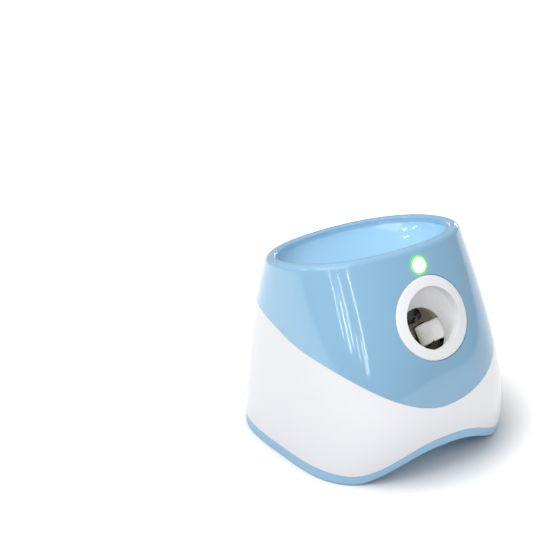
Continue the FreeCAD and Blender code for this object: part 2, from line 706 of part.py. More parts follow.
def launch_chassis():
    """Half-pipe trough with motor wings, posts, end wall and the feed drive's cheeks."""
    trough = deep(TROUGH_OUT_R, 0, 0, TROUGH_FRONT, TROUGH_BACK, LAUNCH)
    trough = trough.cut(block((-60, -90, TROUGH_EDGE), (60, 130, 60), LAUNCH))
    under_wing = block((-WING_HALF_SPAN - 8, -FAR, -FAR),
                       (WING_HALF_SPAN + 8, FAR, WING_TOP - 0.5), LAUNCH)
    pieces = [trough] + both_sides(wing_plate())
    for x, y in chassis_feet():
        pieces.append(upright(POST_R, x, y, tray_level(x, y), 140).common(under_wing))
    for x in (WHEEL_X - MOTOR_R - 5.0, WHEEL_X + MOTOR_R + 5.0):
        pieces += both_sides(block((x - RIB_HALF, WING_FRONT + 2, WING_BOTTOM - 6),
                                   (x + RIB_HALF, WING_BACK - 2, WING_BOTTOM + 0.5), LAUNCH))
    pieces += both_sides(cheek())
    floor_end = TROUGH_BACK - 2.5
    tools = wheel_space() + both_sides(motor_holes()) + both_sides(sensor_hole()) + [
        deep(TROUGH_R, 0, 0, TROUGH_FRONT - 60, floor_end, LAUNCH),
        flare(FLARE_WALL + FIT, 1.3),
        block((-60, TROUGH_FRONT - 9, TROUGH_FLOOR_UP), (60, TROUGH_SIDES_FRONT, 60), LAUNCH),
        block((-RACK_HALF_WIDTH - 0.6, RACK_FRONT - FEED_STROKE - 3, -60),
              (RACK_HALF_WIDTH + 0.6, floor_end, -8), LAUNCH),
        sideways(FEED_SHAFT_R + RUNNING, -40, 40, PINION_AT, PINION_UP, LAUNCH)]
    for x, y in chassis_feet():
        level = tray_level(x, y)
        tools.append(upright(SCREW_R + 0.05, x, y, level - 1, level + 12))
    return largest(without(joined(pieces), tools))


def wing_plate():
    """Plate that carries the right motor, from the trough out to its posts."""
    plate = block((TROUGH_R - 6.0, WING_FRONT, WING_BOTTOM), (WING_HALF_SPAN, WING_BACK, WING_TOP))
    corners = [e for e in plate.Edges if abs(e.CenterOfMass.x - WING_HALF_SPAN) < 0.1
               and e.BoundBox.ZLength > WING_THICKNESS - 0.1]
    return placed(plate.makeFillet(9.0, corners), LAUNCH)


def motor_holes():
    """Centre hole and two screw holes for the right motor, as one cutter."""
    tools = [across(MOTOR_BOSS_R + 0.2, WHEEL_X, 0, -40, 0, LAUNCH)]
    for side in (-1, 1):
        tools.append(across(1.6, WHEEL_X, MOTOR_SCREW_R * side, -40, 0, LAUNCH))
    return Part.makeCompound(tools)


def cheek():
    """Wall under the trough that holds the feed shaft, on the right."""
    half = CHEEK_THICKNESS / 2
    return block((CHEEK_X - half, PINION_AT - CHEEK_HALF, PINION_UP - CHEEK_LOW),
                 (CHEEK_X + half, PINION_AT + CHEEK_HALF, -TROUGH_R - 0.5), LAUNCH)


def sensor_hole():
    """Hole through the trough's right wall for a sensor's dome."""
    return sideways(SENSOR_DOME_R + 0.3, 0.7 * TROUGH_R, 1.3 * TROUGH_R,
                    BALL_AT + SENSOR_BEHIND_BALL, -SENSOR_DROP, LAUNCH)


def drop_chute():
    """Chute from the throat to the trough, with a hood over the ball and guards over the wheels."""
    r_out = CHUTE_R + CHUTE_WALL
    pieces = [upright(r_out, 0, THROAT_Y, 60, CHUTE_TOP),
              upright(r_out + CHUTE_COLLAR, 0, THROAT_Y, CHUTE_TOP - 2.2, CHUTE_TOP)]
    clear = TROUGH_R + 0.4
    hood = deep(clear + CHUTE_WALL, 0, 0, HOOD_FRONT, 10, LAUNCH)
    pieces.append(hood.cut(block((-60, -90, -60), (60, 90, GUARD_LOW - 4), LAUNCH)))
    pieces += both_sides(guard())
    tools = wheel_space() + [
        upright(CHUTE_R, 0, THROAT_Y, 50, 190),
        block((-70, -90, -90), (70, 130, TROUGH_EDGE + FIT / 3), LAUNCH).cut(guard_legs(0.5)),
        deep(clear, 0, 0, -70, BALL_AT, LAUNCH),
        bowl(-HOPPER_WALL - FIT),
        upright(THROAT_R + HOPPER_WALL + 1.2, 0, THROAT_Y, CHUTE_TOP, 190),
        flare(FLARE_WALL + FIT, 1.3),
        block((-TROUGH_R - 0.5, PUSHER_FRONT - FEED_STROKE - 14, -30),
              (TROUGH_R + 0.5, PUSHER_BACK + 20, PUSHER_TOP + 1.0), LAUNCH)]
    return largest(without(joined(pieces), tools).common(body_form(WALL + 2.0)))


def guard():
    """Plate over the right flywheel, with its legs on the wing."""
    top = GUARD_LOW + GUARD_THICKNESS
    plate = block((TROUGH_R - 6.0, GUARD_FRONT, GUARD_LOW), (WING_HALF_SPAN, WING_BACK, top))
    outer = [e for e in plate.Edges if abs(e.CenterOfMass.x - WING_HALF_SPAN) < 0.1
             and e.BoundBox.ZLength > GUARD_THICKNESS - 0.1]
    legs = [across(GUARD_LEG_R, x, depth, WING_TOP, GUARD_LOW + 0.5, LAUNCH) for x, depth in LEGS]
    return joined([placed(plate.makeFillet(9.0, outer), LAUNCH)] + legs)


LEGS = ((WING_HALF_SPAN - 8.0, WING_FRONT + 6.0), (WING_HALF_SPAN - 8.0, WING_BACK - 6.0))


def guard_legs(extra):
    """The guards' legs on both sides, made larger all round."""
    legs = [across(GUARD_LEG_R + extra, x, depth, WING_TOP - 1, GUARD_LOW, LAUNCH)
            for x, depth in LEGS]
    return legs + [mirrored(leg) for leg in legs]


# ---------------------------------------------------------------- flywheels and motors
def flywheel_hub():
    """Right flywheel's hub: rim, web with lightening holes, ribs and a boss on the shaft."""
    half = WHEEL_WIDTH / 2
    rim_out = WHEEL_R - TYRE_THICKNESS
    rim = ring(rim_out, rim_out - WHEEL_RIM, -half, half)
    web = Part.makeCylinder(rim_out - 1.0, WHEEL_WEB, V(0, 0, -WHEEL_WEB / 2))
    boss = cone(6.0, 5.2, (0, 0, 1.0 - half), (0, 0, half - 2.0))
    solid = joined([rim, web, boss] + spokes(rim_out))
    holes = []
    for k in range(SPOKES):
        x, depth = polar(rim_out * 0.585, 360.0 * (k + 0.5) / SPOKES)
        holes.append(Part.makeCylinder(4.2, WHEEL_WEB + 2, V(x, depth, -WHEEL_WEB / 2 - 1)))
    bore = Part.makeCylinder(SHAFT_R, WHEEL_WIDTH, V(0, 0, half - 5.0 - WHEEL_WIDTH))
    solid = without(solid, holes + [bore])
    solid.translate(V(WHEEL_X, 0, 0))
    return placed(solid, LAUNCH)


def spokes(reach):
    """Ribs from the boss to the rim, round the wheel's own axis."""
    ribs = []
    for k in range(SPOKES):
        rib = block((-0.9, 3.0, 4.0 - WHEEL_WIDTH / 2), (0.9, reach - 1.5, WHEEL_WIDTH / 2 - 4.0))
        rib.rotate(V(0, 0, 0), V(0, 0, 1), 360.0 * k / SPOKES)
        ribs.append(rib)
    return ribs


def ring(r_out, r_in, low, high):
    """Tube about the Z axis between two heights."""
    tube = Part.makeCylinder(r_out, high - low, V(0, 0, low))
    return tube.cut(Part.makeCylinder(r_in, high - low + 2, V(0, 0, low - 1)))


def flywheel_tyre():
    """Right flywheel's soft tyre with two fine grooves."""
    half = WHEEL_WIDTH / 2
    tyre = ring(WHEEL_R, WHEEL_R - TYRE_THICKNESS, -half, half)
    shoulders = [e for e in tyre.Edges if e.BoundBox.XLength > 2 * WHEEL_R - 0.1
                 and e.BoundBox.ZLength < 0.1]
    tyre = tyre.makeFillet(1.0, shoulders)
    grooves = [ring(WHEEL_R + 1, WHEEL_R - 0.6, up - 0.35, up + 0.35) for up in (-1.8, 1.8)]
    tyre = without(tyre, grooves)
    tyre.translate(V(WHEEL_X, 0, 0))
    return placed(tyre, LAUNCH)


def motor_shaft():
    """Right motor's shaft, up into the hub."""
    return across(SHAFT_R, WHEEL_X, 0, WING_BOTTOM - 8.0, WHEEL_WIDTH / 2 - 5.2, LAUNCH)


def launch_motor():
    """Right launch motor: flatted can, bearing boss, end cap and two terminals."""
    low = WING_BOTTOM - MOTOR_LENGTH
    flat = MOTOR_R - MOTOR_FLAT
    can = across(MOTOR_R, WHEEL_X, 0, low, WING_BOTTOM, LAUNCH)
    can = can.common(block((0, -flat, low - 1), (FAR, flat, WING_BOTTOM + 1), LAUNCH))
    pieces = [can, across(MOTOR_BOSS_R, WHEEL_X, 0, WING_BOTTOM - 0.5,
                          WING_BOTTOM + MOTOR_BOSS_HEIGHT, LAUNCH),
              across(5.0, WHEEL_X, 0, low - 2.5, low + 0.5, LAUNCH)]
    for x in (WHEEL_X - 8.5, WHEEL_X + 8.5):
        pieces.append(block((x - 0.3, -1.5, low - 5.0), (x + 0.3, 1.5, low + 1.0), LAUNCH))
    seam = ring(MOTOR_R + 1, MOTOR_R - 0.7, low + 7, low + 8)
    seam.translate(V(WHEEL_X, 0, 0))
    tools = [placed(seam, LAUNCH),
             across(SHAFT_R + RUNNING, WHEEL_X, 0, WING_BOTTOM - 9.0, WING_BOTTOM + 6, LAUNCH)]
    for side in (-1, 1):
        tools.append(across(SMALL_SCREW_R + 0.1, WHEEL_X, side * MOTOR_SCREW_R, WING_BOTTOM - 5,
                            WING_BOTTOM + 1, LAUNCH))
    return without(joined(pieces), tools)


def screw(r, head_r, length, at, way, where=BODY):
    """Pan-head screw whose shank starts at a point and runs along a direction."""
    a, d = V(*at), V(*way)
    head = Part.makeCylinder(head_r, SCREW_HEAD_HEIGHT, a - d * SCREW_HEAD_HEIGHT, d)
    shank = Part.makeCylinder(r, length, a, d)
    socket = Part.makeCylinder(head_r * 0.45, SCREW_HEAD_HEIGHT / 2, a - d * SCREW_HEAD_HEIGHT, d)
    return placed(head.fuse(shank).cut(socket), where)


def motor_screws():
    """Two short screws down through each wing into its motor."""
    solids = []
    for side in (-1, 1):
        at = (WHEEL_X, side * MOTOR_SCREW_R, WING_TOP)
        solids += both_sides(screw(SMALL_SCREW_R, SMALL_HEAD_R, 7.0, at, (0, 0, -1), LAUNCH))
    return Part.makeCompound(solids)


# ---------------------------------------------------------------- ball feed
def tennis_ball(extra=0.0):
    """The ball that waits behind the flywheels; extra makes it larger all round."""
    return placed(Part.makeSphere(BALL_R + extra, V(0, BALL_AT, -BALL_DROP)), LAUNCH)


def feed_pusher():
    """Sled in the trough with a ball cup in front and a rack below."""
    r_out = TROUGH_R - FIT
    sled = deep(r_out, 0, 0, PUSHER_FRONT, PUSHER_BACK, LAUNCH)
    sled = sled.cut(block((-60, 0, PUSHER_TOP), (60, 120, 60), LAUNCH))
    room = deep(r_out - PUSHER_WALL, 0, 0, PUSHER_FRONT + 16.0, PUSHER_BACK + 1, LAUNCH)
    room = room.cut(block((-1.2, 0, -60), (1.2, 120, 60), LAUNCH))
    root = 1.25 * RACK_MODULE - RACK_PITCH_DROP
    end = RACK_FRONT + RACK_TEETH * math.pi * RACK_MODULE
    half = RACK_HALF_WIDTH
    beam = block((-half, RACK_FRONT, root), (half, end, 1.5 - TROUGH_R), LAUNCH)
    neck = block((-half, PUSHER_FRONT + 4, -TROUGH_R - 1), (half, PUSHER_BACK, -10), LAUNCH)
    cup = tennis_ball(PUSHER_GAP)
    solid = joined([sled.cut(room).cut(cup), beam, neck.cut(cup)] + rack_teeth(root))
    return largest(solid)


def rack_teeth(root):
    """Straight-sided rack teeth, placed so that a gap faces the pinion's tooth at rest."""
    pitch = math.pi * RACK_MODULE
    tip = -RACK_PITCH_DROP - RACK_MODULE
    teeth = []
    for k in range(RACK_TEETH):
        mid = RACK_FRONT + pitch * (k + 0.5)
        wide, narrow = pitch * 0.37, pitch * 0.115
        outline = [(mid - wide, root + 0.1), (mid - narrow, tip), (mid + narrow, tip),
                   (mid + wide, root + 0.1), (mid - wide, root + 0.1)]
        teeth.append(tooth(outline))
    return teeth


def tooth(outline):
    """One tooth of the rack or the pinion, from its outline in depth and up."""
    face = Part.Face(Part.makePolygon([V(-RACK_HALF_WIDTH, d, u) for d, u in outline]))
    return placed(face.extrude(V(2 * RACK_HALF_WIDTH, 0, 0)), LAUNCH)


def feed_pinion():
    """Pinion under the rack, on its shaft."""
    root, tip = PINION_R - 1.25 * RACK_MODULE, PINION_R + RACK_MODULE
    step = 360.0 / PINION_TEETH
    phase = math.degrees((RACK_FRONT - PINION_AT) / PINION_R)
    flank = [(root - 0.4, 0.30), (PINION_R, 0.215), (tip, 0.10)]
    teeth = []
    for k in range(PINION_TEETH):
        corners = [(r, -share) for r, share in flank] + [(r, share) for r, share in flank[::-1]]
        outline = []
        for r, share in corners + corners[:1]:
            d, u = polar(r, phase + (k + share) * step)
            outline.append((PINION_AT + d, PINION_UP + u))
        teeth.append(tooth(outline))
    half = RACK_HALF_WIDTH
    core = sideways(root, -half, half, PINION_AT, PINION_UP, LAUNCH)
    shaft = sideways(FEED_SHAFT_R, -CHEEK_X - 4, GEARBOX_X + 4, PINION_AT, PINION_UP, LAUNCH)
    return joined([core, shaft] + teeth)


def feed_gearmotor():
    """Gearbox and can of the feed drive, screwed to the right cheek."""
    long, deep_size, tall = GEARBOX
    front, back = PINION_AT - GEARBOX_LEAD, PINION_AT - GEARBOX_LEAD + deep_size
    end = GEARBOX_X + long
    case = block((GEARBOX_X, front, PINION_UP - tall / 2), (end, back, PINION_UP + tall / 2))
    case = case.makeFillet(1.5, [e for e in case.Edges if abs(e.BoundBox.XLength - long) < 0.1])
    axis = back - GEARBOX_LEAD - 1.0
    can = sideways(FEED_MOTOR_R, end - 1, end + FEED_MOTOR_LENGTH, axis, PINION_UP)
    cap = sideways(3.0, end + FEED_MOTOR_LENGTH - 1, end + FEED_MOTOR_LENGTH + 2, axis, PINION_UP)
    bore = sideways(FEED_SHAFT_R + RUNNING, GEARBOX_X - 1, GEARBOX_X + 5, PINION_AT, PINION_UP)
    return placed(joined([case, can, cap]).cut(bore), LAUNCH)


def ball_sensor():
    """Right half of the light beam: a boxed body with a dome through the trough's wall."""
    wide, long, tall = SENSOR_SIZE
    depth = BALL_AT + SENSOR_BEHIND_BALL
    out = math.sqrt(TROUGH_OUT_R ** 2 - SENSOR_DROP ** 2)
    body = block((out + 0.6, depth - long / 2, -SENSOR_DROP - tall / 2),
                 (out + wide, depth + long / 2, -SENSOR_DROP + tall / 2), LAUNCH)
    dome = sideways(SENSOR_DOME_R, TROUGH_R - FIT, out + 1.0, depth, -SENSOR_DROP, LAUNCH)
    return joined([body, dome])


# ---------------------------------------------------------------- power button
def button_tube(r_out, r_in, start, end):
    """Tube round the button's axis between two depths."""
    return deep(r_out, 0, 0, start, end, BUTTON).cut(deep(r_in, 0, 0, start - 1, end + 1, BUTTON))


def power_button():
    """Round cap that is pressed towards the switch board."""
    cap = deep(BUTTON_R, 0, 0, -BUTTON_PROUD, BUTTON_HEIGHT, BUTTON)
    face = [e for e in cap.Edges if BUTTON.inverse().multVec(e.CenterOfMass).y < 0.1 - BUTTON_PROUD]
    cap = cap.makeFillet(0.7, face)
    stem_end = SWITCH_BOARD_DEPTH - SWITCH_HEIGHT - 1.6
    stem = deep(BUTTON_STEM_R, 0, 0, BUTTON_HEIGHT - 0.5, stem_end, BUTTON)
    hollow = button_tube(BUTTON_R - 1.5, BUTTON_STEM_R + 0.9, 1.2, BUTTON_HEIGHT + 1)
    return joined([cap, stem]).cut(hollow)


def button_light_ring():
    """Clear ring round the cap that spreads the green light, with a lip behind."""
    inner = BUTTON_R + 0.12
    tube = button_tube(LIGHT_RING_R, inner, -0.5, LIGHT_RING_DEPTH)
    lip = button_tube(LIGHT_RING_R + LIGHT_RING_LIP, inner, LIGHT_RING_DEPTH - 1.4, LIGHT_RING_DEPTH)
    return joined([tube, lip])


def button_board():
    """Round switch board behind the cap, with four lamps that reach the ring."""
    board = deep(SWITCH_BOARD_R, 0, 0, SWITCH_BOARD_DEPTH, SWITCH_BOARD_DEPTH + 1.2, BUTTON)
    pieces = [board]
    front = LIGHT_RING_DEPTH + 0.1
    for k in range(4):
        x, up = polar((BUTTON_R + LIGHT_RING_R) / 2, 45.0 + 90.0 * k)
        pieces.append(block((x - 0.8, front, up - 0.8),
                            (x + 0.8, SWITCH_BOARD_DEPTH + 0.2, up + 0.8), BUTTON))
    return joined(pieces)


def button_switch():
    """Tact switch in the middle of the switch board."""
    face = SWITCH_BOARD_DEPTH - 0.02
    front = face - SWITCH_HEIGHT
    body = block((-SWITCH_HALF, front, -SWITCH_HALF), (SWITCH_HALF, face, SWITCH_HALF), BUTTON)
    return joined([body, deep(1.6, 0, 0, front - 0.3, front + 0.1, BUTTON)])


# ---------------------------------------------------------------- battery bay, board and inlet
def cell_rows():
    """Y of each row of cells."""
    pitch = 2 * CELL_R + CELL_GAP
    return [BAY_Y + pitch * (row - (CELL_ROWS - 1) / 2) for row in range(CELL_ROWS)]


def battery_box():
    """Open tub over the cells, with saddles between them and a flange on the tray's floor."""
    half = BAY_LENGTH / 2
    out = half + BAY_WALL
    front = BAY_FRONT - BAY_WALL
    tub = block((-out, front, BAY_SILL), (out, DOOR_BACK, BAY_TOP + BAY_WALL))
    tub = tub.makeFillet(3.0, [e for e in tub.Edges if e.BoundBox.ZLength > BAY_HEIGHT])
    flange = block((-out - BAY_FLANGE, front - BAY_FLANGE + 1.0, FLOOR_TOP),
                   (out + BAY_FLANGE, DOOR_BACK, FLOOR_TOP + 1.8))
    room = block((-half, BAY_FRONT, -5), (half, BAY_BACK, BAY_TOP))
    saddles = []
    for x in (-CELL_LENGTH / 2, CELL_LENGTH / 2):
        saddles.append(block((x - 5, BAY_FRONT - 0.5, BAY_TOP - 3.0),
                             (x + 5, BAY_BACK + 0.5, BAY_TOP + 0.5)))
    solid = joined([joined([tub, flange]).cut(room)] + saddles)
    return largest(without(solid, [sideways(CELL_R + 0.25, -half, half, y, CELL_Z)
                                   for y in cell_rows()]))


def battery_cells():
    """Six C cells, each with its raised contact."""
    cells = []
    for row, y in enumerate(cell_rows()):
        way = 1 if row % 2 else -1
        for k in range(CELLS_PER_ROW):
            middle = CELL_LENGTH * (k - (CELLS_PER_ROW - 1) / 2)
            start = middle - way * (CELL_LENGTH / 2 - 0.1)
            end = middle + way * (CELL_LENGTH / 2 - 1.9)
            can = sideways(CELL_R, start, end, y, CELL_Z)
            can = can.makeChamfer(0.8, [e for e in can.Edges if e.BoundBox.XLength < 0.1])
            tip = sideways(3.2, end - way * 0.5, end + way * 1.7, y, CELL_Z)
            cells.append(joined([can, tip]))
    return Part.makeCompound(cells)


def battery_contacts():
    """Plate and coned spring at each end of each row."""
    solids = []
    for y in cell_rows():
        for way in (-1, 1):
            wall = way * BAY_LENGTH / 2
            ends = sorted((wall, wall - way * 0.4))
            plate = block((ends[0], y - 7, CELL_Z - 8), (ends[1], y + 7, CELL_Z + 8))
            near, tip = (wall - way * 0.3, y, CELL_Z), (wall - way * (SPRING_ROOM - 0.3), y, CELL_Z)
            past = (wall - way * (SPRING_ROOM + 0.1), y, CELL_Z)
            hollow = cone(5.2, 2.8, (wall - way * 0.5, y, CELL_Z), past)
            solids.append(joined([plate, cone(6.0, 3.6, near, tip).cut(hollow)]))
    return Part.makeCompound(solids)


def battery_door():
    """Door in the tray's floor: a grooved plate with two hinge lugs and a snap tongue."""
    half = BAY_LENGTH / 2 + BAY_WALL
    front = BAY_FRONT - BAY_WALL
    top = BAY_LOW + DOOR_THICKNESS
    plate = block((-half, front, BAY_LOW), (half, DOOR_BACK, top))
    plate = plate.makeFillet(2.5, [e for e in plate.Edges if e.BoundBox.ZLength > 1
                                   and e.CenterOfMass.y < BAY_Y])
    tools = []
    for k in range(GRIP_LINES):
        y = front + 6.0 + 3.0 * k
        tools.append(block((-18.0, y, BAY_LOW - 1), (18.0, y + 1.2, BAY_LOW + 0.6)))
    for x in (-9.0, 9.0):
        tools.append(block((x - 0.6, front - 1, BAY_LOW - 1), (x + 0.6, front + 9, top + 1)))
    reach = HINGE_BLOCK_HALF + 0.6
    for x in HINGE_PLACES:
        tools.append(block((x - reach, DOOR_BACK - 1.6, BAY_LOW - 1),
                           (x + reach, DOOR_BACK + 0.1, top + 1)))
    lugs = []
    for x in HINGE_PLACES:
        left, right = x - HINGE_LUG_HALF, x + HINGE_LUG_HALF
        lugs.append(sideways(HINGE_R + 1.3, left, right, HINGE_Y, HINGE_Z))
        lugs.append(block((left, DOOR_BACK - 3, BAY_LOW), (right, HINGE_Y, top)))
        lugs.append(sideways(HINGE_R, x - HINGE_PIN_HALF, x + HINGE_PIN_HALF, HINGE_Y, HINGE_Z))
    return largest(joined([without(plate, tools)] + lugs))


def hinge_pockets():
    """Clearance in the tray for the door's lugs, open below, as a list of cutters."""
    half, pin = HINGE_LUG_HALF + 0.4, HINGE_PIN_HALF + 0.4
    tools = []
    for x in HINGE_PLACES:
        tools.append(block((x - half, DOOR_BACK - 1, -5),
                           (x + half, HINGE_Y + HINGE_R + 2.2, HINGE_Z + HINGE_R + 2.2)))
        tools.append(sideways(HINGE_R + RUNNING, x - pin, x + pin, HINGE_Y, HINGE_Z))
    return tools


def hinge_blocks():
    """Bosses on the tray that hold the door's pins."""
    back, top = HINGE_Y + HINGE_R + 3.6, HINGE_Z + HINGE_R + 3.6
    return [block((x - HINGE_BLOCK_HALF, DOOR_BACK + DOOR_GAP - 0.1, HINGE_Z - HINGE_R - 0.9),
                  (x + HINGE_BLOCK_HALF, back, top)) for x in HINGE_PLACES]


def main_board():
    """Circuit board over the battery tub, with its tall parts."""
    half_x, half_y = BOARD_HALF_X + BOARD_MARGIN + 1.0, BOARD_HALF_Y + BOARD_MARGIN
    top = BOARD_Z + BOARD_THICKNESS
    board = block((-half_x, BAY_Y - half_y, BOARD_Z), (half_x, BAY_Y + half_y, top))
    corners = [e for e in board.Edges if abs(e.BoundBox.ZLength - BOARD_THICKNESS) < 0.01]
    parts = [board.makeFillet(3.0, corners)]
    for x, y in BOARD_CAPACITORS:
        parts.append(upright(4.0, x, BAY_Y + y, top - 0.2, top + 9))
    for x, y, wide, long, tall in BOARD_BLOCKS:
        y += BAY_Y
        parts.append(block((x - wide / 2, y - long / 2, top - 0.2),
                           (x + wide / 2, y + long / 2, top + tall)))
    holes = [upright(SMALL_SCREW_R + SCREW_FREE, x, y, BOARD_Z - 1, top + 1) for x, y in BOARD_POSTS]
    return without(joined(parts), holes)


def board_screws():
    """Four screws down through the board into the tray's posts."""
    top = BOARD_Z + BOARD_THICKNESS
    return Part.makeCompound([screw(SMALL_SCREW_R, SMALL_HEAD_R, 7.0, (x, y, top), (0, 0, -1))
                              for x, y in BOARD_POSTS])


def dc_inlet():
    """Round power inlet: flange in its pocket, sleeve, nut, body, socket and centre pin."""
    face = JACK_FACE_Y
    def along_y(r, start, end):
        return cylinder(r, (0, face + start, JACK_Z), (0, face + end, JACK_Z))
    corners = []
    for k in range(7):
        x, up = polar(JACK_NUT_R, 60.0 * k)
        corners.append(V(x, face - WALL - 1.7, JACK_Z + up))
    nut = Part.Face(Part.makePolygon(corners)).extrude(V(0, -2.6, 0))
    body = block((-4.5, face - 13.0, JACK_Z - 5.0), (4.5, face - 8.5, JACK_Z + 5.0))
    solid = joined([along_y(JACK_FLANGE_R, 0.02, JACK_FLANGE_THICKNESS),
                    along_y(JACK_R, -9.0, 0.5), nut, body])
    return joined([solid.cut(along_y(JACK_BORE_R, -8.0, 3.0)), along_y(1.0, -8.6, -0.5)])


# ---------------------------------------------------------------- feet and screws
def rubber_feet():
    """Four feet pressed into the tray's cups."""
    feet = []
    for x, y in FOOT_PLACES:
        foot = upright(FOOT_R, x, y, 0, FOOT_HEIGHT)
        low = [e for e in foot.Edges if e.BoundBox.ZMax < 0.1]
        feet.append(foot.makeChamfer(0.7, low))
    return Part.makeCompound(feet)


def risen_screws(places, length):
    """Screws that stand upright on a list of plan places with their heights."""
    return Part.makeCompound([screw(SCREW_R, SCREW_HEAD_R, length, place, (0, 0, 1))
                              for place in places])


def tray_screws():
    """Screws up through the tray into the lower housing's posts."""
    return risen_screws([(x, y, tray_boss_top(x, y) - 4.0) for x, y in HOUSING_SCREW_PLACES], 12.0)


def chassis_screws():
    """Screws up through the tray into the chassis posts."""
    return risen_screws([(x, y, tray_level(x, y) - 2.0) for x, y in chassis_feet()], 11.0)


def housing_screws():
    """Screws up through the lower housing's lugs into the upper housing's posts."""
    return risen_screws([(x, y, SHELL_SCREW_HEIGHT) for x, y in SHELL_SCREW_PLACES], 12.0)


def bezel_screws():
    """Screws through the port flange into the upper housing's bosses."""
    solids = []
    for radius, degrees in BEZEL_SCREWS:
        x, up = polar(radius, degrees)
        at = (x, FLANGE_DEPTH + FLANGE_THICKNESS, up)
        solids.append(screw(SCREW_R, SCREW_HEAD_R, 7.5, at, (0, -1, 0), PORT))
    return Part.makeCompound(solids)


# ---------------------------------------------------------------- write the pieces
PIECES = {
    "base_tray": base_tray,
    "lower_housing": lower_housing,
    "upper_housing": upper_housing,
    "hopper_funnel": hopper_funnel,
    "port_bezel": port_bezel,
    "launch_chassis": launch_chassis,
    "drop_chute": drop_chute,
    "flywheel_hub_right": flywheel_hub,
    "flywheel_hub_left": lambda: mirrored(flywheel_hub()),
    "flywheel_tyre_right": flywheel_tyre,
    "flywheel_tyre_left": lambda: mirrored(flywheel_tyre()),
    "motor_shaft_right": motor_shaft,
    "motor_shaft_left": lambda: mirrored(motor_shaft()),
    "launch_motor_right": launch_motor,
    "launch_motor_left": lambda: mirrored(launch_motor()),
    "motor_screws": motor_screws,
    "tennis_ball": tennis_ball,
    "feed_pusher": feed_pusher,
    "feed_pinion": feed_pinion,
    "feed_gearmotor": feed_gearmotor,
    "ball_sensor_right": ball_sensor,
    "ball_sensor_left": lambda: mirrored(ball_sensor()),
    "power_button": power_button,
    "button_light_ring": button_light_ring,
    "button_board": button_board,
    "button_switch": button_switch,
    "battery_box": battery_box,
    "battery_cells": battery_cells,
    "battery_contacts": battery_contacts,
    "battery_door": battery_door,
    "main_board": main_board,
    "board_screws": board_screws,
    "dc_inlet": dc_inlet,
    "rubber_feet": rubber_feet,
    "tray_screws": tray_screws,
    "chassis_screws": chassis_screws,
    "housing_screws": housing_screws,
    "bezel_screws": bezel_screws,
}

for name, make in PIECES.items():
    piece = make()
    piece.translate(V(0, -BOX_CENTRE_Y, 0))
    piece.exportStep(f"parts/{name}.step")
    print(f"{name:22s} solids {len(piece.Solids):2d}  volume {piece.Volume / 1000:9.2f} cm3")
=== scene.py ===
"""Looks of the automatic dog ball launcher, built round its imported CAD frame.

Metres, +Z up, the port towards -Y.  The CAD nodes keep their places; they get moulded-plastic,
rubber, metal and circuit-board finishes here.  The tennis ball is a new felt surface with a seam,
and a small studio with its lamps stands round the object.
"""
import json
import logging
import math
from dataclasses import dataclass, field
from enum import Enum
from functools import cached_property
from typing import Any, Iterable, Optional, Sequence, Union

import bmesh
import bpy
import numpy as np
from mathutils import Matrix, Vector


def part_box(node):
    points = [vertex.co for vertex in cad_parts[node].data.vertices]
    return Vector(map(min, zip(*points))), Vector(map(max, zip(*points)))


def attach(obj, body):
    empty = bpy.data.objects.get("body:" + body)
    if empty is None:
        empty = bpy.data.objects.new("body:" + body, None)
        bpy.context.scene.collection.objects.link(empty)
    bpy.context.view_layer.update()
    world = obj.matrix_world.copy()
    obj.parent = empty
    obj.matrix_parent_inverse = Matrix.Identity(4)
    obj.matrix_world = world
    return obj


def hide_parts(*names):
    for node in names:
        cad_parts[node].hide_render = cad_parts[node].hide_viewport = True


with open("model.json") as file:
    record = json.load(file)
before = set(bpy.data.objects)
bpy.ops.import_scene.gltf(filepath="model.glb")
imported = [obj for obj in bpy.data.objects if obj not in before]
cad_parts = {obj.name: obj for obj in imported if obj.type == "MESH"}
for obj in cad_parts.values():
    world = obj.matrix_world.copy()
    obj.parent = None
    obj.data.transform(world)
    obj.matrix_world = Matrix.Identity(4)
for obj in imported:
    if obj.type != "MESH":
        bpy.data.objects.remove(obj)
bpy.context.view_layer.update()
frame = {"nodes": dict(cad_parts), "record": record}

LOG = logging.getLogger("launcher")
Triple = tuple[float, float, float]
Colour = Triple
Place = Triple
Band = tuple[float, float]
MM = 0.001
PLASTIC_IOR = 1.5
BLACK: Colour = (0.0, 0.0, 0.0)
WHITE: Colour = (1.0, 1.0, 1.0)
SHELL_BLUE: Colour = (0.292, 0.535, 0.74)
SHINY_NODES = ("upper_housing", "hopper_funnel", "lower_housing", "port_bezel")
PANE_DISTANCE = 2.0


# ------------------------------------------------------------------ shader arithmetic
class Term:
    """A shader value that can be used in ordinary arithmetic."""

    def __init__(self, sheet: "NodeSheet", socket: Optional[bpy.types.NodeSocket]) -> None:
        """Wraps one output socket of a node sheet."""
        self.sheet = sheet
        self.socket = socket

    def __add__(self, other: "Value") -> "Term":
        """Sum of two values."""
        return self.sheet.math("ADD", self, other)

    __radd__ = __add__

    def __mul__(self, other: "Value") -> "Term":
        """Product of two values."""
        return self.sheet.math("MULTIPLY", self, other)

    __rmul__ = __mul__

    def __sub__(self, other: "Value") -> "Term":
        """Difference of two values."""
        return self.sheet.math("SUBTRACT", self, other)

    def __rsub__(self, other: "Value") -> "Term":
        """Difference with the number on the left."""
        return self.sheet.math("SUBTRACT", other, self)

    def __gt__(self, other: "Value") -> "Term":
        """1 where this value is the greater, else 0."""
        return self.sheet.math("GREATER_THAN", self, other)

    def smooth(self, low: float, high: float) -> "Term":
        """Smooth step of this value.

        Args:
            low: where the step begins.
            high: where it ends.

        Returns:
            0 below the low value, 1 above the high one, and a smooth rise between them.
        """
        settings = {"interpolation_type": "SMOOTHSTEP"}
        values = {0: self, 1: low, 2: high, 3: 0.0, 4: 1.0}
        return self.sheet.add("ShaderNodeMapRange", settings, values)


Value = Union[Term, float]


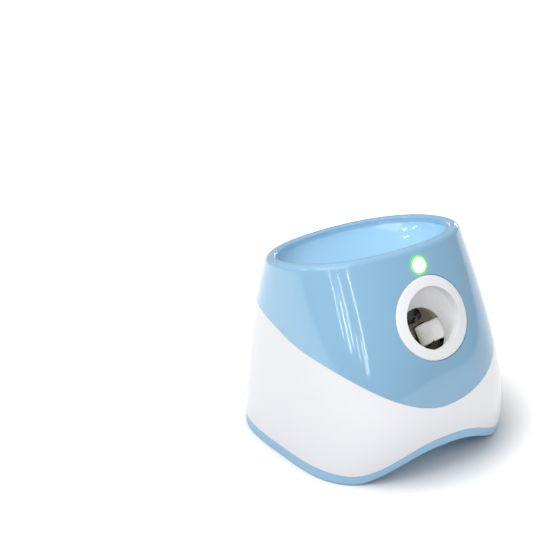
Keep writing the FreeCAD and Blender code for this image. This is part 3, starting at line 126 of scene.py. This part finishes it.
class NodeSheet:
    """The node tree of one material or world."""

    def __init__(self, name: str, family: str = "materials") -> None:
        """Starts a material or a world with an empty tree.

        Args:
            name: its name.
            family: the kind of thing it is, as the plural that Blender's data uses.
        """
        self.owner = getattr(bpy.data, family).new(name)
        self.owner.use_nodes = True
        self.tree = self.owner.node_tree
        self.tree.nodes.clear()

    @cached_property
    def place(self) -> Term:
        """The point's place on the piece, in metres."""
        return self.add("ShaderNodeTexCoord", output="Object")

    def add(self, kind: str, settings: Optional[dict[str, Any]] = None,
            values: Optional[dict[Any, Any]] = None, output: Union[int, str] = 0) -> Term:
        """Makes a node.

        Args:
            kind: the node's type.
            settings: attributes that are set first.
            values: numbers, colours or terms for its input sockets, by name or index.
            output: the output socket to hand back.

        Returns:
            The chosen output as a term, which is empty where the node has no outputs.
        """
        node = self.tree.nodes.new(kind)
        for key, value in (settings or {}).items():
            setattr(node, key, value)
        for key, value in (values or {}).items():
            if isinstance(value, Term):
                self.tree.links.new(value.socket, node.inputs[key])
            else:
                node.inputs[key].default_value = value
        return Term(self, node.outputs[output] if len(node.outputs) else None)

    def math(self, operation: str, a: Value, b: Value) -> Term:
        """One Math node on two values."""
        return self.add("ShaderNodeMath", {"operation": operation}, {0: a, 1: b})

    def vector_math(self, operation: str, a: Union[Term, Triple],
                    b: Union[Term, Triple] = (0.0, 0.0, 0.0), output: str = "Value") -> Term:
        """One Vector Math node on two vectors, with a number or a vector as its result."""
        return self.add("ShaderNodeVectorMath", {"operation": operation}, {0: a, 1: b}, output)

    def noise(self, size: float, detail: float = 2.0, stretch: Optional[Triple] = None) -> Term:
        """Smooth noise from 0 to 1.

        Args:
            size: length of one lump, in metres.
            detail: octaves.
            stretch: factors on the three axes, for grain that runs one way.

        Returns:
            The noise.
        """
        place = self.place
        if stretch:
            values = {"Vector": place, "Scale": stretch}
            place = self.add("ShaderNodeMapping", None, values, "Vector")
        values = {"Vector": place, "Scale": 1.0 / size, "Detail": detail}
        return self.add("ShaderNodeTexNoise", {"noise_dimensions": "3D"}, values, "Fac")

    def mix(self, share: Value, a: Union[Term, Colour], b: Union[Term, Colour]) -> Term:
        """Blend of two colours: the first where the share is 0, the second where it is 1."""
        values = {"Factor": share, 6: self._rgba(a), 7: self._rgba(b)}
        return self.add("ShaderNodeMix", {"data_type": "RGBA"}, values, 2)

    @staticmethod
    def _rgba(colour: Union[Term, Colour]) -> Any:
        """A colour with its alpha, or the term itself."""
        return colour if isinstance(colour, Term) else (*colour, 1.0)

    def faces_away(self, centre: Place) -> Term:
        """Tells the outer faces of a hollow piece from its inner ones.

        Args:
            centre: a point in the hollow.

        Returns:
            1 on faces that look away from the point, such as a bowl's outer faces, 0 on the others.
        """
        normal = self.add("ShaderNodeTexCoord", output="Normal")
        reach = self.vector_math("SUBTRACT", self.place, centre, "Vector")
        return self.vector_math("DOT_PRODUCT", reach, normal) > 0.0

    def bump(self, height: Term, depth: float, below: Optional[Term] = None) -> Term:
        """Surface relief from a height.

        Args:
            height: 0 to 1.
            depth: how deep that is, in metres.
            below: another bump that this one lies on.

        Returns:
            The normal.
        """
        values: dict[Any, Any] = {"Height": height, "Distance": depth, "Strength": 1.0}
        if below:
            values["Normal"] = below
        return self.add("ShaderNodeBump", None, values, "Normal")

    def finish(self, values: dict[str, Any],
               seen: Optional[dict[str, Any]] = None) -> bpy.types.Material:
        """Closes the material.

        Args:
            values: inputs of its Principled shader.
            seen: inputs of another one, for what the camera sees directly or in gloss.

        Returns:
            The material.
        """
        shader = self.add("ShaderNodeBsdfPrincipled", None, values, "BSDF")
        if seen:
            other = self.add("ShaderNodeBsdfPrincipled", None, seen, "BSDF")
            direct = self.add("ShaderNodeLightPath", output="Is Camera Ray")
            mirrored = self.add("ShaderNodeLightPath", output="Is Glossy Ray")
            share = self.math("MAXIMUM", direct, mirrored)
            shader = self.add("ShaderNodeMixShader", None, {0: share, 1: shader, 2: other})
        self.add("ShaderNodeOutputMaterial", None, {"Surface": shader})
        return self.owner


def scaled(colour: Colour, factor: float) -> Colour:
    """A colour made darker or lighter by a factor, and never brighter than white."""
    return tuple(min(1.0, channel * factor) for channel in colour)


# ------------------------------------------------------------------ finishes
@dataclass(frozen=True)
class MouldedPlastic:
    """Injection-moulded plastic.

    The colour drifts a little over a hand's breadth, the gloss has faint smudges, and the
    surface has the soft ripple of a mould, with fine grain where it isn't polished.  A lump is
    the length of one patch of a pattern.  A bowl may have painted shade on its outer faces: a
    near-black colour without a coat, told by the centre of its hollow, in place of the shade that
    falls there inside the shell.  A shell may have a painted glow round a lamp that stands in it: an
    emission in its colour that fades away from the lamp and stands in for the lamp's light on it.
    """

    name: str
    colour: Colour
    roughness: float = 0.2
    coat: float = 0.0
    drift: float = 0.03
    grain: float = 0.0
    see_through: float = 0.0
    # painted shade: near-black colour for a bowl's outer faces, in place of the shade inside the
    # shell
    outside: Optional[Colour] = None
    hollow_centre: Place = (0.0, -0.01, 0.2)
    # painted glow: a green emission round a lamp in the shell, standing in for the lamp's light on
    # the plastic
    glow_at: Optional[Place] = None
    glow: Colour = (0.06, 0.5, 0.0)
    glow_strength: float = 0.22
    glow_reach: Band = (8.0 * MM, 20.0 * MM)
    drift_lump: float = 70.0 * MM
    smudge_lump: float = 18.0 * MM
    smudge_band: Band = (0.45, 0.75)
    smudge_dulling: float = 0.35
    ripple_lump: float = 9.0 * MM
    ripple: float = 0.01 * MM
    grain_lump: float = 0.7 * MM
    coat_roughness: float = 0.04
    light_depth: float = 2.0 * MM

    def material(self) -> bpy.types.Material:
        """Builds the material.

        Returns:
            The material.
        """
        sheet = NodeSheet(self.name)
        dark, light = scaled(self.colour, 1 - self.drift), scaled(self.colour, 1 + self.drift)
        colour = sheet.mix(sheet.noise(self.drift_lump), dark, light)
        coat: Value = self.coat
        # Painted shade: faces that look away from the hollow's centre get the near-black colour and
        # no coat, in place of the shade that falls on them inside the shell.
        if self.outside:
            outside = sheet.faces_away(self.hollow_centre)
            colour = sheet.mix(outside, colour, self.outside)
            coat = (1 - outside) * self.coat
        smudge = sheet.noise(self.smudge_lump, detail=4.0).smooth(*self.smudge_band)
        normal = sheet.bump(sheet.noise(self.ripple_lump, detail=1.0), self.ripple)
        if self.grain:
            fine = sheet.noise(self.grain_lump, detail=3.0)
            normal = sheet.bump(fine, self.grain, normal)
        values = {
            "Base Color": colour,
            "Roughness": smudge * (self.smudge_dulling * self.roughness) + self.roughness,
            "Normal": normal, "IOR": PLASTIC_IOR,
            "Coat Weight": coat, "Coat Roughness": self.coat_roughness,
            "Subsurface Weight": self.see_through, "Subsurface Scale": self.light_depth,
            "Subsurface Radius": (1.0, 1.0, 1.0),
        }
        # Painted glow: emission that fades with the distance from the lamp over the reach, in place
        # of the lamp's light on the plastic round it.
        if self.glow_at:
            apart = sheet.vector_math("DISTANCE", sheet.place, self.glow_at)
            share = 1 - apart.smooth(*self.glow_reach)
            values["Emission Color"] = sheet.mix(share * share, BLACK, self.glow)
            values["Emission Strength"] = self.glow_strength
        return sheet.finish(values)


@dataclass(frozen=True)
class SoftRubber:
    """Matt rubber with moulding grain and worn, slightly paler high spots."""

    name: str
    colour: Colour
    worn: Colour
    roughness: float = 0.7
    worn_polish: float = 0.12
    wear_lump: float = 6.0 * MM
    wear_band: Band = (0.45, 0.8)
    grain_lump: float = 0.6 * MM
    grain: float = 0.06 * MM
    sheen: float = 0.15
    sheen_roughness: float = 0.5

    def material(self) -> bpy.types.Material:
        """Builds the material.

        Returns:
            The material.
        """
        sheet = NodeSheet(self.name)
        wear = sheet.noise(self.wear_lump, detail=4.0).smooth(*self.wear_band)
        return sheet.finish({
            "Base Color": sheet.mix(wear, self.colour, self.worn),
            "Roughness": wear * -self.worn_polish + self.roughness,
            "Normal": sheet.bump(sheet.noise(self.grain_lump, detail=3.0), self.grain),
            "IOR": PLASTIC_IOR,
            "Sheen Weight": self.sheen, "Sheen Roughness": self.sheen_roughness,
        })


@dataclass(frozen=True)
class PlainMetal:
    """Drawn or plated metal with fine lines along one axis and a few dull patches."""

    name: str
    colour: Colour
    roughness: float = 0.3
    stretch: Triple = (1.0, 1.0, 12.0)
    line_lump: float = 1.2 * MM
    line_depth: float = 0.01 * MM
    line_shade: float = 0.86
    line_dulling: float = 0.1
    patch_lump: float = 8.0 * MM
    patch_band: Band = (0.5, 0.8)
    patch_dulling: float = 0.15

    def material(self) -> bpy.types.Material:
        """Builds the material.

        Returns:
            The material.
        """
        sheet = NodeSheet(self.name)
        lines = sheet.noise(self.line_lump, detail=3.0, stretch=self.stretch)
        dull = sheet.noise(self.patch_lump, detail=3.0).smooth(*self.patch_band)
        return sheet.finish({
            "Base Color": sheet.mix(lines, scaled(self.colour, self.line_shade), self.colour),
            "Roughness": dull * self.patch_dulling + lines * self.line_dulling + self.roughness,
            "Metallic": 1.0,
            "Normal": sheet.bump(lines, self.line_depth),
        })


@dataclass(frozen=True)
class SolderMask:
    """Circuit board: green mask over faint copper tracks, with a fine glass weave."""

    name: str
    colour: Colour
    track: Colour
    roughness: float = 0.25
    track_cell: float = 7.5 * MM
    track_band: Band = (0.03, 0.06)
    track_height: float = 0.03 * MM
    weave_lump: float = 0.5 * MM
    weave_depth: float = 0.01 * MM
    weave_dulling: float = 0.15

    def material(self) -> bpy.types.Material:
        """Builds the material; the tracks are the edges between the cells of a pattern.

        Returns:
            The material.
        """
        sheet = NodeSheet(self.name)
        settings = {"feature": "DISTANCE_TO_EDGE"}
        values = {"Vector": sheet.place, "Scale": 1.0 / self.track_cell}
        edge = sheet.add("ShaderNodeTexVoronoi", settings, values, "Distance")
        tracks = 1 - edge.smooth(*self.track_band)
        weave = sheet.noise(self.weave_lump)
        relief = sheet.bump(weave, self.weave_depth)
        return sheet.finish({
            "Base Color": sheet.mix(tracks, self.colour, self.track),
            "Roughness": weave * self.weave_dulling + self.roughness,
            "Normal": sheet.bump(tracks, self.track_height, relief),
            "IOR": PLASTIC_IOR,
        })


@dataclass(frozen=True)
class LitPlastic:
    """Clear moulded plastic, evenly lit from behind through a faint cloudiness."""

    name: str
    colour: Colour
    light: Colour
    strength: float
    roughness: float = 0.2
    cloud_lump: float = 3.0 * MM
    cloud_dulling: float = 0.1
    cloud_shade: float = 0.95
    cloud_dimming: float = 0.9
    ior: float = 1.49

    def material(self) -> bpy.types.Material:
        """Builds the material.

        Returns:
            The material.
        """
        sheet = NodeSheet(self.name)
        cloud = sheet.noise(self.cloud_lump)
        return sheet.finish({
            "Base Color": sheet.mix(cloud, self.colour, scaled(self.colour, self.cloud_shade)),
            "Roughness": cloud * self.cloud_dulling + self.roughness,
            "Emission Color": sheet.mix(cloud, self.light, scaled(self.light, self.cloud_dimming)),
            "Emission Strength": self.strength, "IOR": self.ior,
        })


@dataclass(frozen=True)
class Felt:
    """Woven wool felt of a tennis ball, with a smooth rubber seam let into it."""

    name: str
    wool: Colour
    tuft: Colour
    seam: Colour
    roughness: float = 0.95
    seam_polish: float = 0.35
    tuft_lump: float = 2.2 * MM
    tuft_band: Band = (0.3, 0.75)
    tuft_depth: float = 0.5 * MM
    hair_lump: float = 0.5 * MM
    hair_depth: float = 0.25 * MM
    sheen: float = 0.6
    sheen_roughness: float = 0.4
    ior: float = 1.4

    def material(self) -> bpy.types.Material:
        """Builds the material; the seam's share comes from the mesh's attribute "seam".

        Returns:
            The material.
        """
        sheet = NodeSheet(self.name)
        seam = sheet.add("ShaderNodeAttribute", {"attribute_name": "seam"}, None, "Fac")
        tufts = sheet.noise(self.tuft_lump, detail=4.0)
        hairs = sheet.noise(self.hair_lump, detail=3.0)
        wool = sheet.mix(tufts.smooth(*self.tuft_band), self.wool, self.tuft)
        return sheet.finish({
            "Base Color": sheet.mix(seam, wool, self.seam),
            "Roughness": self.roughness - seam * self.seam_polish,
            "Normal": sheet.bump(hairs, self.hair_depth, sheet.bump(tufts, self.tuft_depth)),
            "Sheen Weight": self.sheen, "Sheen Roughness": self.sheen_roughness,
            "Sheen Tint": (*self.tuft, 1.0), "IOR": self.ior,
        })


class Slot(Enum):
    """The record's material slots, the funnel's own finish, and what each one is made of."""

    # the shell: a painted green glow round the button's light ring
    blue_housing = MouldedPlastic("gloss_blue", SHELL_BLUE, 0.1, coat=0.7,
                                  glow_at=(0.0, -0.0678, 0.2237))
    # the funnel: the same blue inside, with painted near-black shade and no coat on its outer faces
    blue_funnel = MouldedPlastic("gloss_blue_funnel", SHELL_BLUE, 0.1, coat=0.7,
                                 outside=(0.014, 0.01, 0.007))
    white_housing = MouldedPlastic("gloss_white", (0.86, 0.855, 0.875), 0.16, coat=0.2, drift=0.01)
    blue_tray = MouldedPlastic("satin_blue", (0.33, 0.56, 0.76), 0.34)
    white_port = MouldedPlastic("port_white", (0.86, 0.86, 0.865), 0.22, drift=0.01)
    chassis_grey = MouldedPlastic("chassis_brown", (0.055, 0.043, 0.035), 0.45, grain=0.03 * MM)
    chute_dark = MouldedPlastic("chute_brown", (0.2, 0.168, 0.135), 0.5, grain=0.02 * MM)
    wheel_hub = MouldedPlastic("hub_dark", (0.085, 0.07, 0.06), 0.4, grain=0.02 * MM)
    acetal = MouldedPlastic("acetal_natural", (0.78, 0.77, 0.72), 0.35, see_through=0.15)
    sensor_black = MouldedPlastic("sensor_black", (0.02, 0.02, 0.022), 0.35)
    battery_tub = MouldedPlastic("tub_black", (0.045, 0.045, 0.05), 0.5, grain=0.04 * MM)
    cell_wrap = MouldedPlastic("cell_wrap", (0.05, 0.055, 0.065), 0.25)
    inlet_black = MouldedPlastic("inlet_black", (0.022, 0.022, 0.025), 0.3)
    wheel_tyre = SoftRubber("tyre_pale", (0.80, 0.79, 0.785), (0.86, 0.85, 0.845), 0.5)
    foot_rubber = SoftRubber("foot_dark", (0.055, 0.055, 0.06), (0.12, 0.12, 0.12))
    steel = PlainMetal("zinc_steel", (0.60, 0.60, 0.61), 0.3)
    motor_can = PlainMetal("motor_can", (0.55, 0.56, 0.57), 0.28)
    spring_steel = PlainMetal("nickel", (0.70, 0.69, 0.66), 0.2)
    circuit_board = SolderMask("solder_mask", (0.02, 0.12, 0.05), (0.03, 0.19, 0.08))
    button_white = LitPlastic("cap_lit", (0.9, 0.92, 0.9), WHITE, strength=0.9)
    light_ring = LitPlastic("ring_lit", (0.2, 0.8, 0.1), (0.12, 1.0, 0.02), strength=0.9)
    felt = Felt("felt_lime", (0.50, 0.62, 0.035), (0.66, 0.78, 0.10), (0.82, 0.83, 0.78))

    def material(self) -> bpy.types.Material:
        """The finish's material, made on first use."""
        return bpy.data.materials.get(self.value.name) or self.value.material()


# ------------------------------------------------------------------ meshes
def grid_faces(rows: int, columns: int) -> np.ndarray:
    """Corner numbers of the quads of a grid whose rows are loops.

    Quad (i, j) joins points (i, j), (i+1, j), (i+1, j+1) and (i, j+1), where point (i, j) has the
    number i * columns + j, and j wraps round.

    Args:
        rows: points along the first parameter.
        columns: points along the second.

    Returns:
        One row of four numbers for each quad.
    """
    i, j = np.meshgrid(np.arange(rows - 1), np.arange(columns), indexing="ij")
    here, beside = i * columns, (i + 1) * columns
    after = (j + 1) % columns
    return np.stack([beside + j, beside + after, here + after, here + j], -1).reshape(-1, 4)


def mesh_object(name: str, points: np.ndarray, faces: Iterable[Sequence[int]], slot: Slot,
                body: str) -> bpy.types.Object:
    """Makes a smooth-shaded piece that rides on a body.

    Args:
        name: its name.
        points: its points, in metres.
        faces: the numbers of the points round each face.
        slot: the slot whose finish it gets.
        body: the body that it moves with.

    Returns:
        The piece, at the origin.
    """
    mesh = bpy.data.meshes.new(name)
    mesh.from_pydata(points.reshape(-1, 3).tolist(), [], [list(map(int, f)) for f in faces])
    mesh.validate()
    mesh.polygons.foreach_set("use_smooth", np.ones(len(mesh.polygons), bool))
    mesh.materials.append(slot.material())
    piece = bpy.data.objects.new(name, mesh)
    bpy.context.scene.collection.objects.link(piece)
    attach(piece, body)
    return piece


def weld(piece: bpy.types.Object, distance: float = 1e-6) -> None:
    """Merges points that lie on each other and turns the faces outwards.

    Args:
        piece: the piece whose mesh is changed.
        distance: how near to each other such points are, in metres.
    """
    work = bmesh.new()
    work.from_mesh(piece.data)
    bmesh.ops.remove_doubles(work, verts=work.verts, dist=distance)
    bmesh.ops.recalc_face_normals(work, faces=work.faces)
    work.to_mesh(piece.data)
    work.free()


# ------------------------------------------------------------------ sub-assemblies
@dataclass
class CadPieces:
    """The CAD nodes, each in the finish of its slot or in its own one."""

    # the funnel's own finish carries painted shade on its outer faces
    own_finishes: dict[str, Slot] = field(default_factory=lambda: {"hopper_funnel": Slot.blue_funnel})

    def dress(self) -> None:
        """Puts each node's finish in its material slot."""
        for row in frame["record"]["subparts"]:
            name = row["node"]
            finish = self.own_finishes.get(name, Slot[row["material_slot"]]).material()
            for place in frame["nodes"][name].material_slots:
                place.material = finish
            LOG.info("node %s in %s", name, finish.name)


@dataclass
class FeltBall:
    """The tennis ball that waits behind the flywheels, with its curved seam."""

    rings: int = 96
    spokes: int = 160
    seam_width: float = 1.6 * MM
    seam_edge: float = 0.6 * MM
    seam_depth: float = 0.5 * MM
    seam_steps: int = 720
    pile: float = 0.25 * MM
    lump_waves: tuple[Triple, Triple] = ((41.0, 23.0, 17.0), (-19.0, 37.0, 29.0))

    def build(self) -> bpy.types.Object:
        """Builds the ball in the place of its CAD solid.

        The surface is a sphere whose radius drops by the seam's depth near the seam and, away
        from it, swells and sinks by the pile with the product of two sine waves.

        Returns:
            The ball.
        """
        low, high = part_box("tennis_ball")
        centre, radius = np.array((low + high) / 2), (high - low).x / 2
        polar = np.linspace(0, np.pi, self.rings)[:, None]
        around = np.linspace(0, 2 * np.pi, self.spokes, endpoint=False)[None, :]
        unit = np.stack([np.sin(polar) * np.cos(around), np.sin(polar) * np.sin(around),
                         np.cos(polar) * np.ones_like(around)], -1)
        seam = self._seam_share(unit, radius)
        waves = [np.sin(unit @ np.array(wave)) for wave in self.lump_waves]
        lumps = waves[0] * waves[1]
        reach = radius - self.pile - seam * self.seam_depth + lumps * (1 - seam) * self.pile
        points = centre + unit * reach[..., None]
        points[0], points[-1] = points[0].mean(0), points[-1].mean(0)
        faces = grid_faces(self.rings, self.spokes)
        ball = mesh_object("felt_ball", points, faces, Slot.felt, "ball")
        share = ball.data.attributes.new("seam", "FLOAT", "POINT")
        share.data.foreach_set("value", seam.ravel().astype(np.float32))
        weld(ball)
        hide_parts("tennis_ball")
        return ball

    def _seam_share(self, unit: np.ndarray, radius: float) -> np.ndarray:
        """Where the seam is, from the distance to its curve.

        The curve is (a cos t + b cos 3t, c sin 2t, a sin t - b sin 3t) with a = 3/4, b = 1/4 and
        c = 2 sqrt(a b), which is closed and lies on the unit sphere.

        Args:
            unit: directions from the ball's centre.
            radius: the ball's radius.

        Returns:
            1 on the seam and 0 away from it, for each direction.
        """
        t = np.linspace(0, 2 * np.pi, self.seam_steps)
        a, b = 0.75, 0.25
        c = 2 * math.sqrt(a * b)
        curve = np.stack([a * np.cos(t) + b * np.cos(3 * t), c * np.sin(2 * t),
                          a * np.sin(t) - b * np.sin(3 * t)], -1)
        nearest = np.arccos(np.clip(unit.reshape(-1, 3) @ curve.T, -1, 1)).min(1) * radius
        edge = np.clip((self.seam_width - nearest) / self.seam_edge, 0, 1)
        return (edge * edge * (3 - 2 * edge)).reshape(unit.shape[:2])


# ------------------------------------------------------------------ studio
def hang(piece: bpy.types.Object, aim: Place, azimuth: float, elevation: float,
         distance: float) -> None:
    """Puts a camera or a lamp into the scene, with its face turned to a point.

    Args:
        piece: the camera or lamp.
        aim: the point.
        azimuth: degrees round the point, 0 towards -Y and 90 towards +X.
        elevation: degrees above it.
        distance: metres from it.
    """
    a, e = math.radians(azimuth), math.radians(elevation)
    back = Vector((math.sin(a) * math.cos(e), -math.cos(a) * math.cos(e), math.sin(e)))
    piece.location = Vector(aim) + back * distance
    piece.rotation_mode = "QUATERNION"
    piece.rotation_quaternion = (-back).to_track_quat("-Z", "Y")
    bpy.context.scene.collection.objects.link(piece)


class Reach(Enum):
    """What a lamp acts on: the soft light of a surface, its gloss, or both."""

    soft = "soft"
    gloss = "gloss"
    both = "both"


@dataclass
class Lamp:
    """A rectangular lamp that faces the object; it lights every piece or only those it names."""

    name: str
    azimuth: float
    elevation: float
    distance: float
    size: tuple[float, float]
    power: float
    reach: Reach = Reach.soft
    lit_only: tuple[str, ...] = ()
    aim: Place = (0.0, 0.0, 0.13)

    def build(self) -> None:
        """Makes the lamp and hangs it."""
        data = bpy.data.lights.new(self.name, "AREA")
        data.shape = "RECTANGLE"
        data.size, data.size_y = self.size
        data.energy = self.power
        lamp = bpy.data.objects.new(self.name, data)
        lamp.visible_camera = False
        lamp.visible_diffuse = self.reach is not Reach.gloss
        lamp.visible_glossy = self.reach is not Reach.soft
        if self.lit_only:
            group = bpy.data.collections.new(self.name + "_lights")
            for name in self.lit_only:
                group.objects.link(frame["nodes"][name])
            lamp.light_linking.receiver_collection = group
        hang(lamp, self.aim, self.azimuth, self.elevation, self.distance)


def gloss_pane(name: str, azimuth: float, elevation: float, size: tuple[float, float],
               power: float) -> Lamp:
    """A narrow pane that shows only as a streak in the gloss of the shiny shells."""
    return Lamp(name, azimuth, elevation, PANE_DISTANCE, size, power, Reach.gloss, SHINY_NODES)


@dataclass
class Studio:
    """Pale floor, even white surroundings, soft lamps and the camera."""

    camera_azimuth: float = -35.26
    camera_elevation: float = 26.27
    camera_distance: float = 2.40735
    camera_aim: Place = (-0.0768, 0.0998, 0.1762)
    lens: float = 148.5
    sensor: float = 36.0
    clip: tuple[float, float] = (0.05, 50.0)
    floor_size: float = 6.0
    floor_colour: Colour = (0.95, 0.95, 0.955)
    # floor_dimming darkens the copy of the paper that lights other things, shading the object's low
    # parts; floor_glow and the glow bands set a painted white glow that washes out the object's
    # shadow away from it
    floor_dimming: float = 0.25
    floor_glow: float = 0.5
    near_glow: Band = (0.125, 0.215)
    near_share: float = 0.9
    far_glow: Band = (0.5, 1.6)
    fibre_lump: float = 2.0 * MM
    fibre_shade: float = 0.995
    paper_roughness: float = 0.9
    paper_gloss: float = 0.2
    world_colour: Colour = (0.93, 0.96, 1.0)
    world_strength: float = 0.46

    def build(self) -> None:
        """Builds the whole studio."""
        self._camera()
        self._floor()
        self._world()
        for lamp in self._lamps():
            lamp.build()

    def _camera(self) -> None:
        """Places the camera by its angles, its aim and its distance."""
        data = bpy.data.cameras.new("camera")
        data.lens = self.lens
        data.sensor_width = self.sensor
        data.clip_start, data.clip_end = self.clip
        camera = bpy.data.objects.new("camera", data)
        hang(camera, self.camera_aim, self.camera_azimuth, self.camera_elevation,
             self.camera_distance)
        bpy.context.scene.camera = camera

    def _floor(self) -> None:
        """Floor whose paper is white to the eye by a painted glow, which keeps the object's shadow
        only near the object and washes it out further away.
        """
        mesh = bpy.data.meshes.new("studio_floor")
        half = self.floor_size / 2
        corners = [(-half, -half, 0), (half, -half, 0), (half, half, 0), (-half, half, 0)]
        mesh.from_pydata(corners, [], [(0, 1, 2, 3)])
        mesh.materials.append(self._paper())
        floor = bpy.data.objects.new("studio_floor", mesh)
        bpy.context.scene.collection.objects.link(floor)

    def _paper(self) -> bpy.types.Material:
        """Paper that looks white to the eye and in gloss where it lies away from the object, by a
        painted glow that washes out the object's shadow there; a darker copy lights other things.

        Returns:
            The material.
        """
        sheet = NodeSheet("studio_paper")
        fibre = sheet.noise(self.fibre_lump, detail=3.0)
        shade = scaled(self.floor_colour, self.fibre_shade)
        colour = sheet.mix(fibre, shade, self.floor_colour)
        # Painted glow: white emission for the eye and gloss that grows with the distance from the
        # object and washes out the object's shadow there.
        away = sheet.vector_math("LENGTH", sheet.place)
        near, far = away.smooth(*self.near_glow), away.smooth(*self.far_glow)
        glow = near * self.near_share + far * (1 - self.near_share)
        # The copy of the paper that lights other things is darker by floor_dimming than the one the
        # eye sees, which shades the object's low parts.
        plain = {"Base Color": sheet.mix(self.floor_dimming, colour, BLACK),
                 "Roughness": self.paper_roughness, "Specular IOR Level": self.paper_gloss}
        seen = {**plain, "Base Color": colour, "Emission Color": sheet.mix(glow, BLACK, WHITE),
                "Emission Strength": self.floor_glow}
        return sheet.finish(plain, seen)

    def _world(self) -> None:
        """Even light all round, which looks white to the camera."""
        sheet = NodeSheet("studio_world", "worlds")
        direct = sheet.add("ShaderNodeLightPath", output="Is Camera Ray")
        light = {"Color": (*self.world_colour, 1.0), "Strength": self.world_strength}
        plain = sheet.add("ShaderNodeBackground", None, light)
        seen = sheet.add("ShaderNodeBackground", None, {"Color": (*WHITE, 1.0)})
        mixed = sheet.add("ShaderNodeMixShader", None, {0: direct, 1: plain, 2: seen})
        sheet.add("ShaderNodeOutputWorld", None, {"Surface": mixed})
        bpy.context.scene.world = sheet.owner

    @staticmethod
    def _lamps() -> tuple[Lamp, ...]:
        """The lamps, with the angles, distances, sizes and powers of each.

        Returns:
            A big key at the left, soft lights on everything, a few that light only the bowl, the
            port or the lower shell, and narrow panes for the streaks in the gloss.
        """
        return (
            Lamp("key", -70.0, 44.0, 1.8, (1.2, 1.2), 7.2, Reach.both),
            Lamp("top", -100.0, 62.0, 1.7, (1.3, 1.1), 15.0),
            Lamp("fill", 12.0, 42.0, 2.2, (1.2, 1.0), 4.8),
            Lamp("bowl_light", -92.0, 36.0, 1.8, (0.5, 0.5), 12.0, lit_only=("hopper_funnel",)),
            Lamp("port_light", -37.0, 30.0, 1.8, (0.3, 0.3), 17.0,
                 lit_only=("flywheel_tyre_right", "flywheel_tyre_left", "drop_chute")),
            Lamp("flare_light", -60.0, 22.0, 1.8, (0.4, 0.4), 5.0, lit_only=("port_bezel",)),
            Lamp("ring_light", 20.0, 35.0, 2.0, (0.6, 0.6), 2.6, lit_only=("port_bezel",)),
            Lamp("low_light", 12.0, 12.0, 2.0, (1.2, 0.6), 7.5,
                 lit_only=("lower_housing", "base_tray")),
            Lamp("back_fill", 165.0, 35.0, 2.2, (1.2, 1.0), 4.0),
            gloss_pane("pane_front", -43.0, 18.5, (0.014, 0.66), 0.8),
            gloss_pane("pane_front_low", -45.5, 12.0, (0.012, 0.3), 0.3),
            gloss_pane("pane_middle", -51.0, 13.0, (0.014, 0.22), 0.15),
            gloss_pane("pane_corner_near", -56.0, 16.5, (0.014, 0.36), 0.4),
            gloss_pane("pane_corner", -60.5, 13.5, (0.02, 0.3), 0.5),
            gloss_pane("pane_corner_far", -66.0, 15.0, (0.014, 0.34), 0.3),
            gloss_pane("window", -117.0, 27.0, (0.07, 0.5), 1.6),
            gloss_pane("window_middle", -107.0, 44.0, (0.06, 0.3), 1.0),
            gloss_pane("window_high", -130.0, 54.0, (0.06, 0.35), 1.0),
            gloss_pane("pane_rim_right", 128.0, 4.0, (0.7, 0.06), 0.7),
        )


def main() -> None:
    """Builds the looks in order: CAD finishes, new pieces, studio."""
    logging.basicConfig(level=logging.INFO, format="%(message)s")
    bpy.context.scene.view_settings.view_transform = "Standard"
    CadPieces().dress()
    ball = FeltBall().build()
    LOG.info("%s: %d faces", ball.name, len(ball.data.polygons))
    Studio().build()


if __name__ == "__main__":
    main()
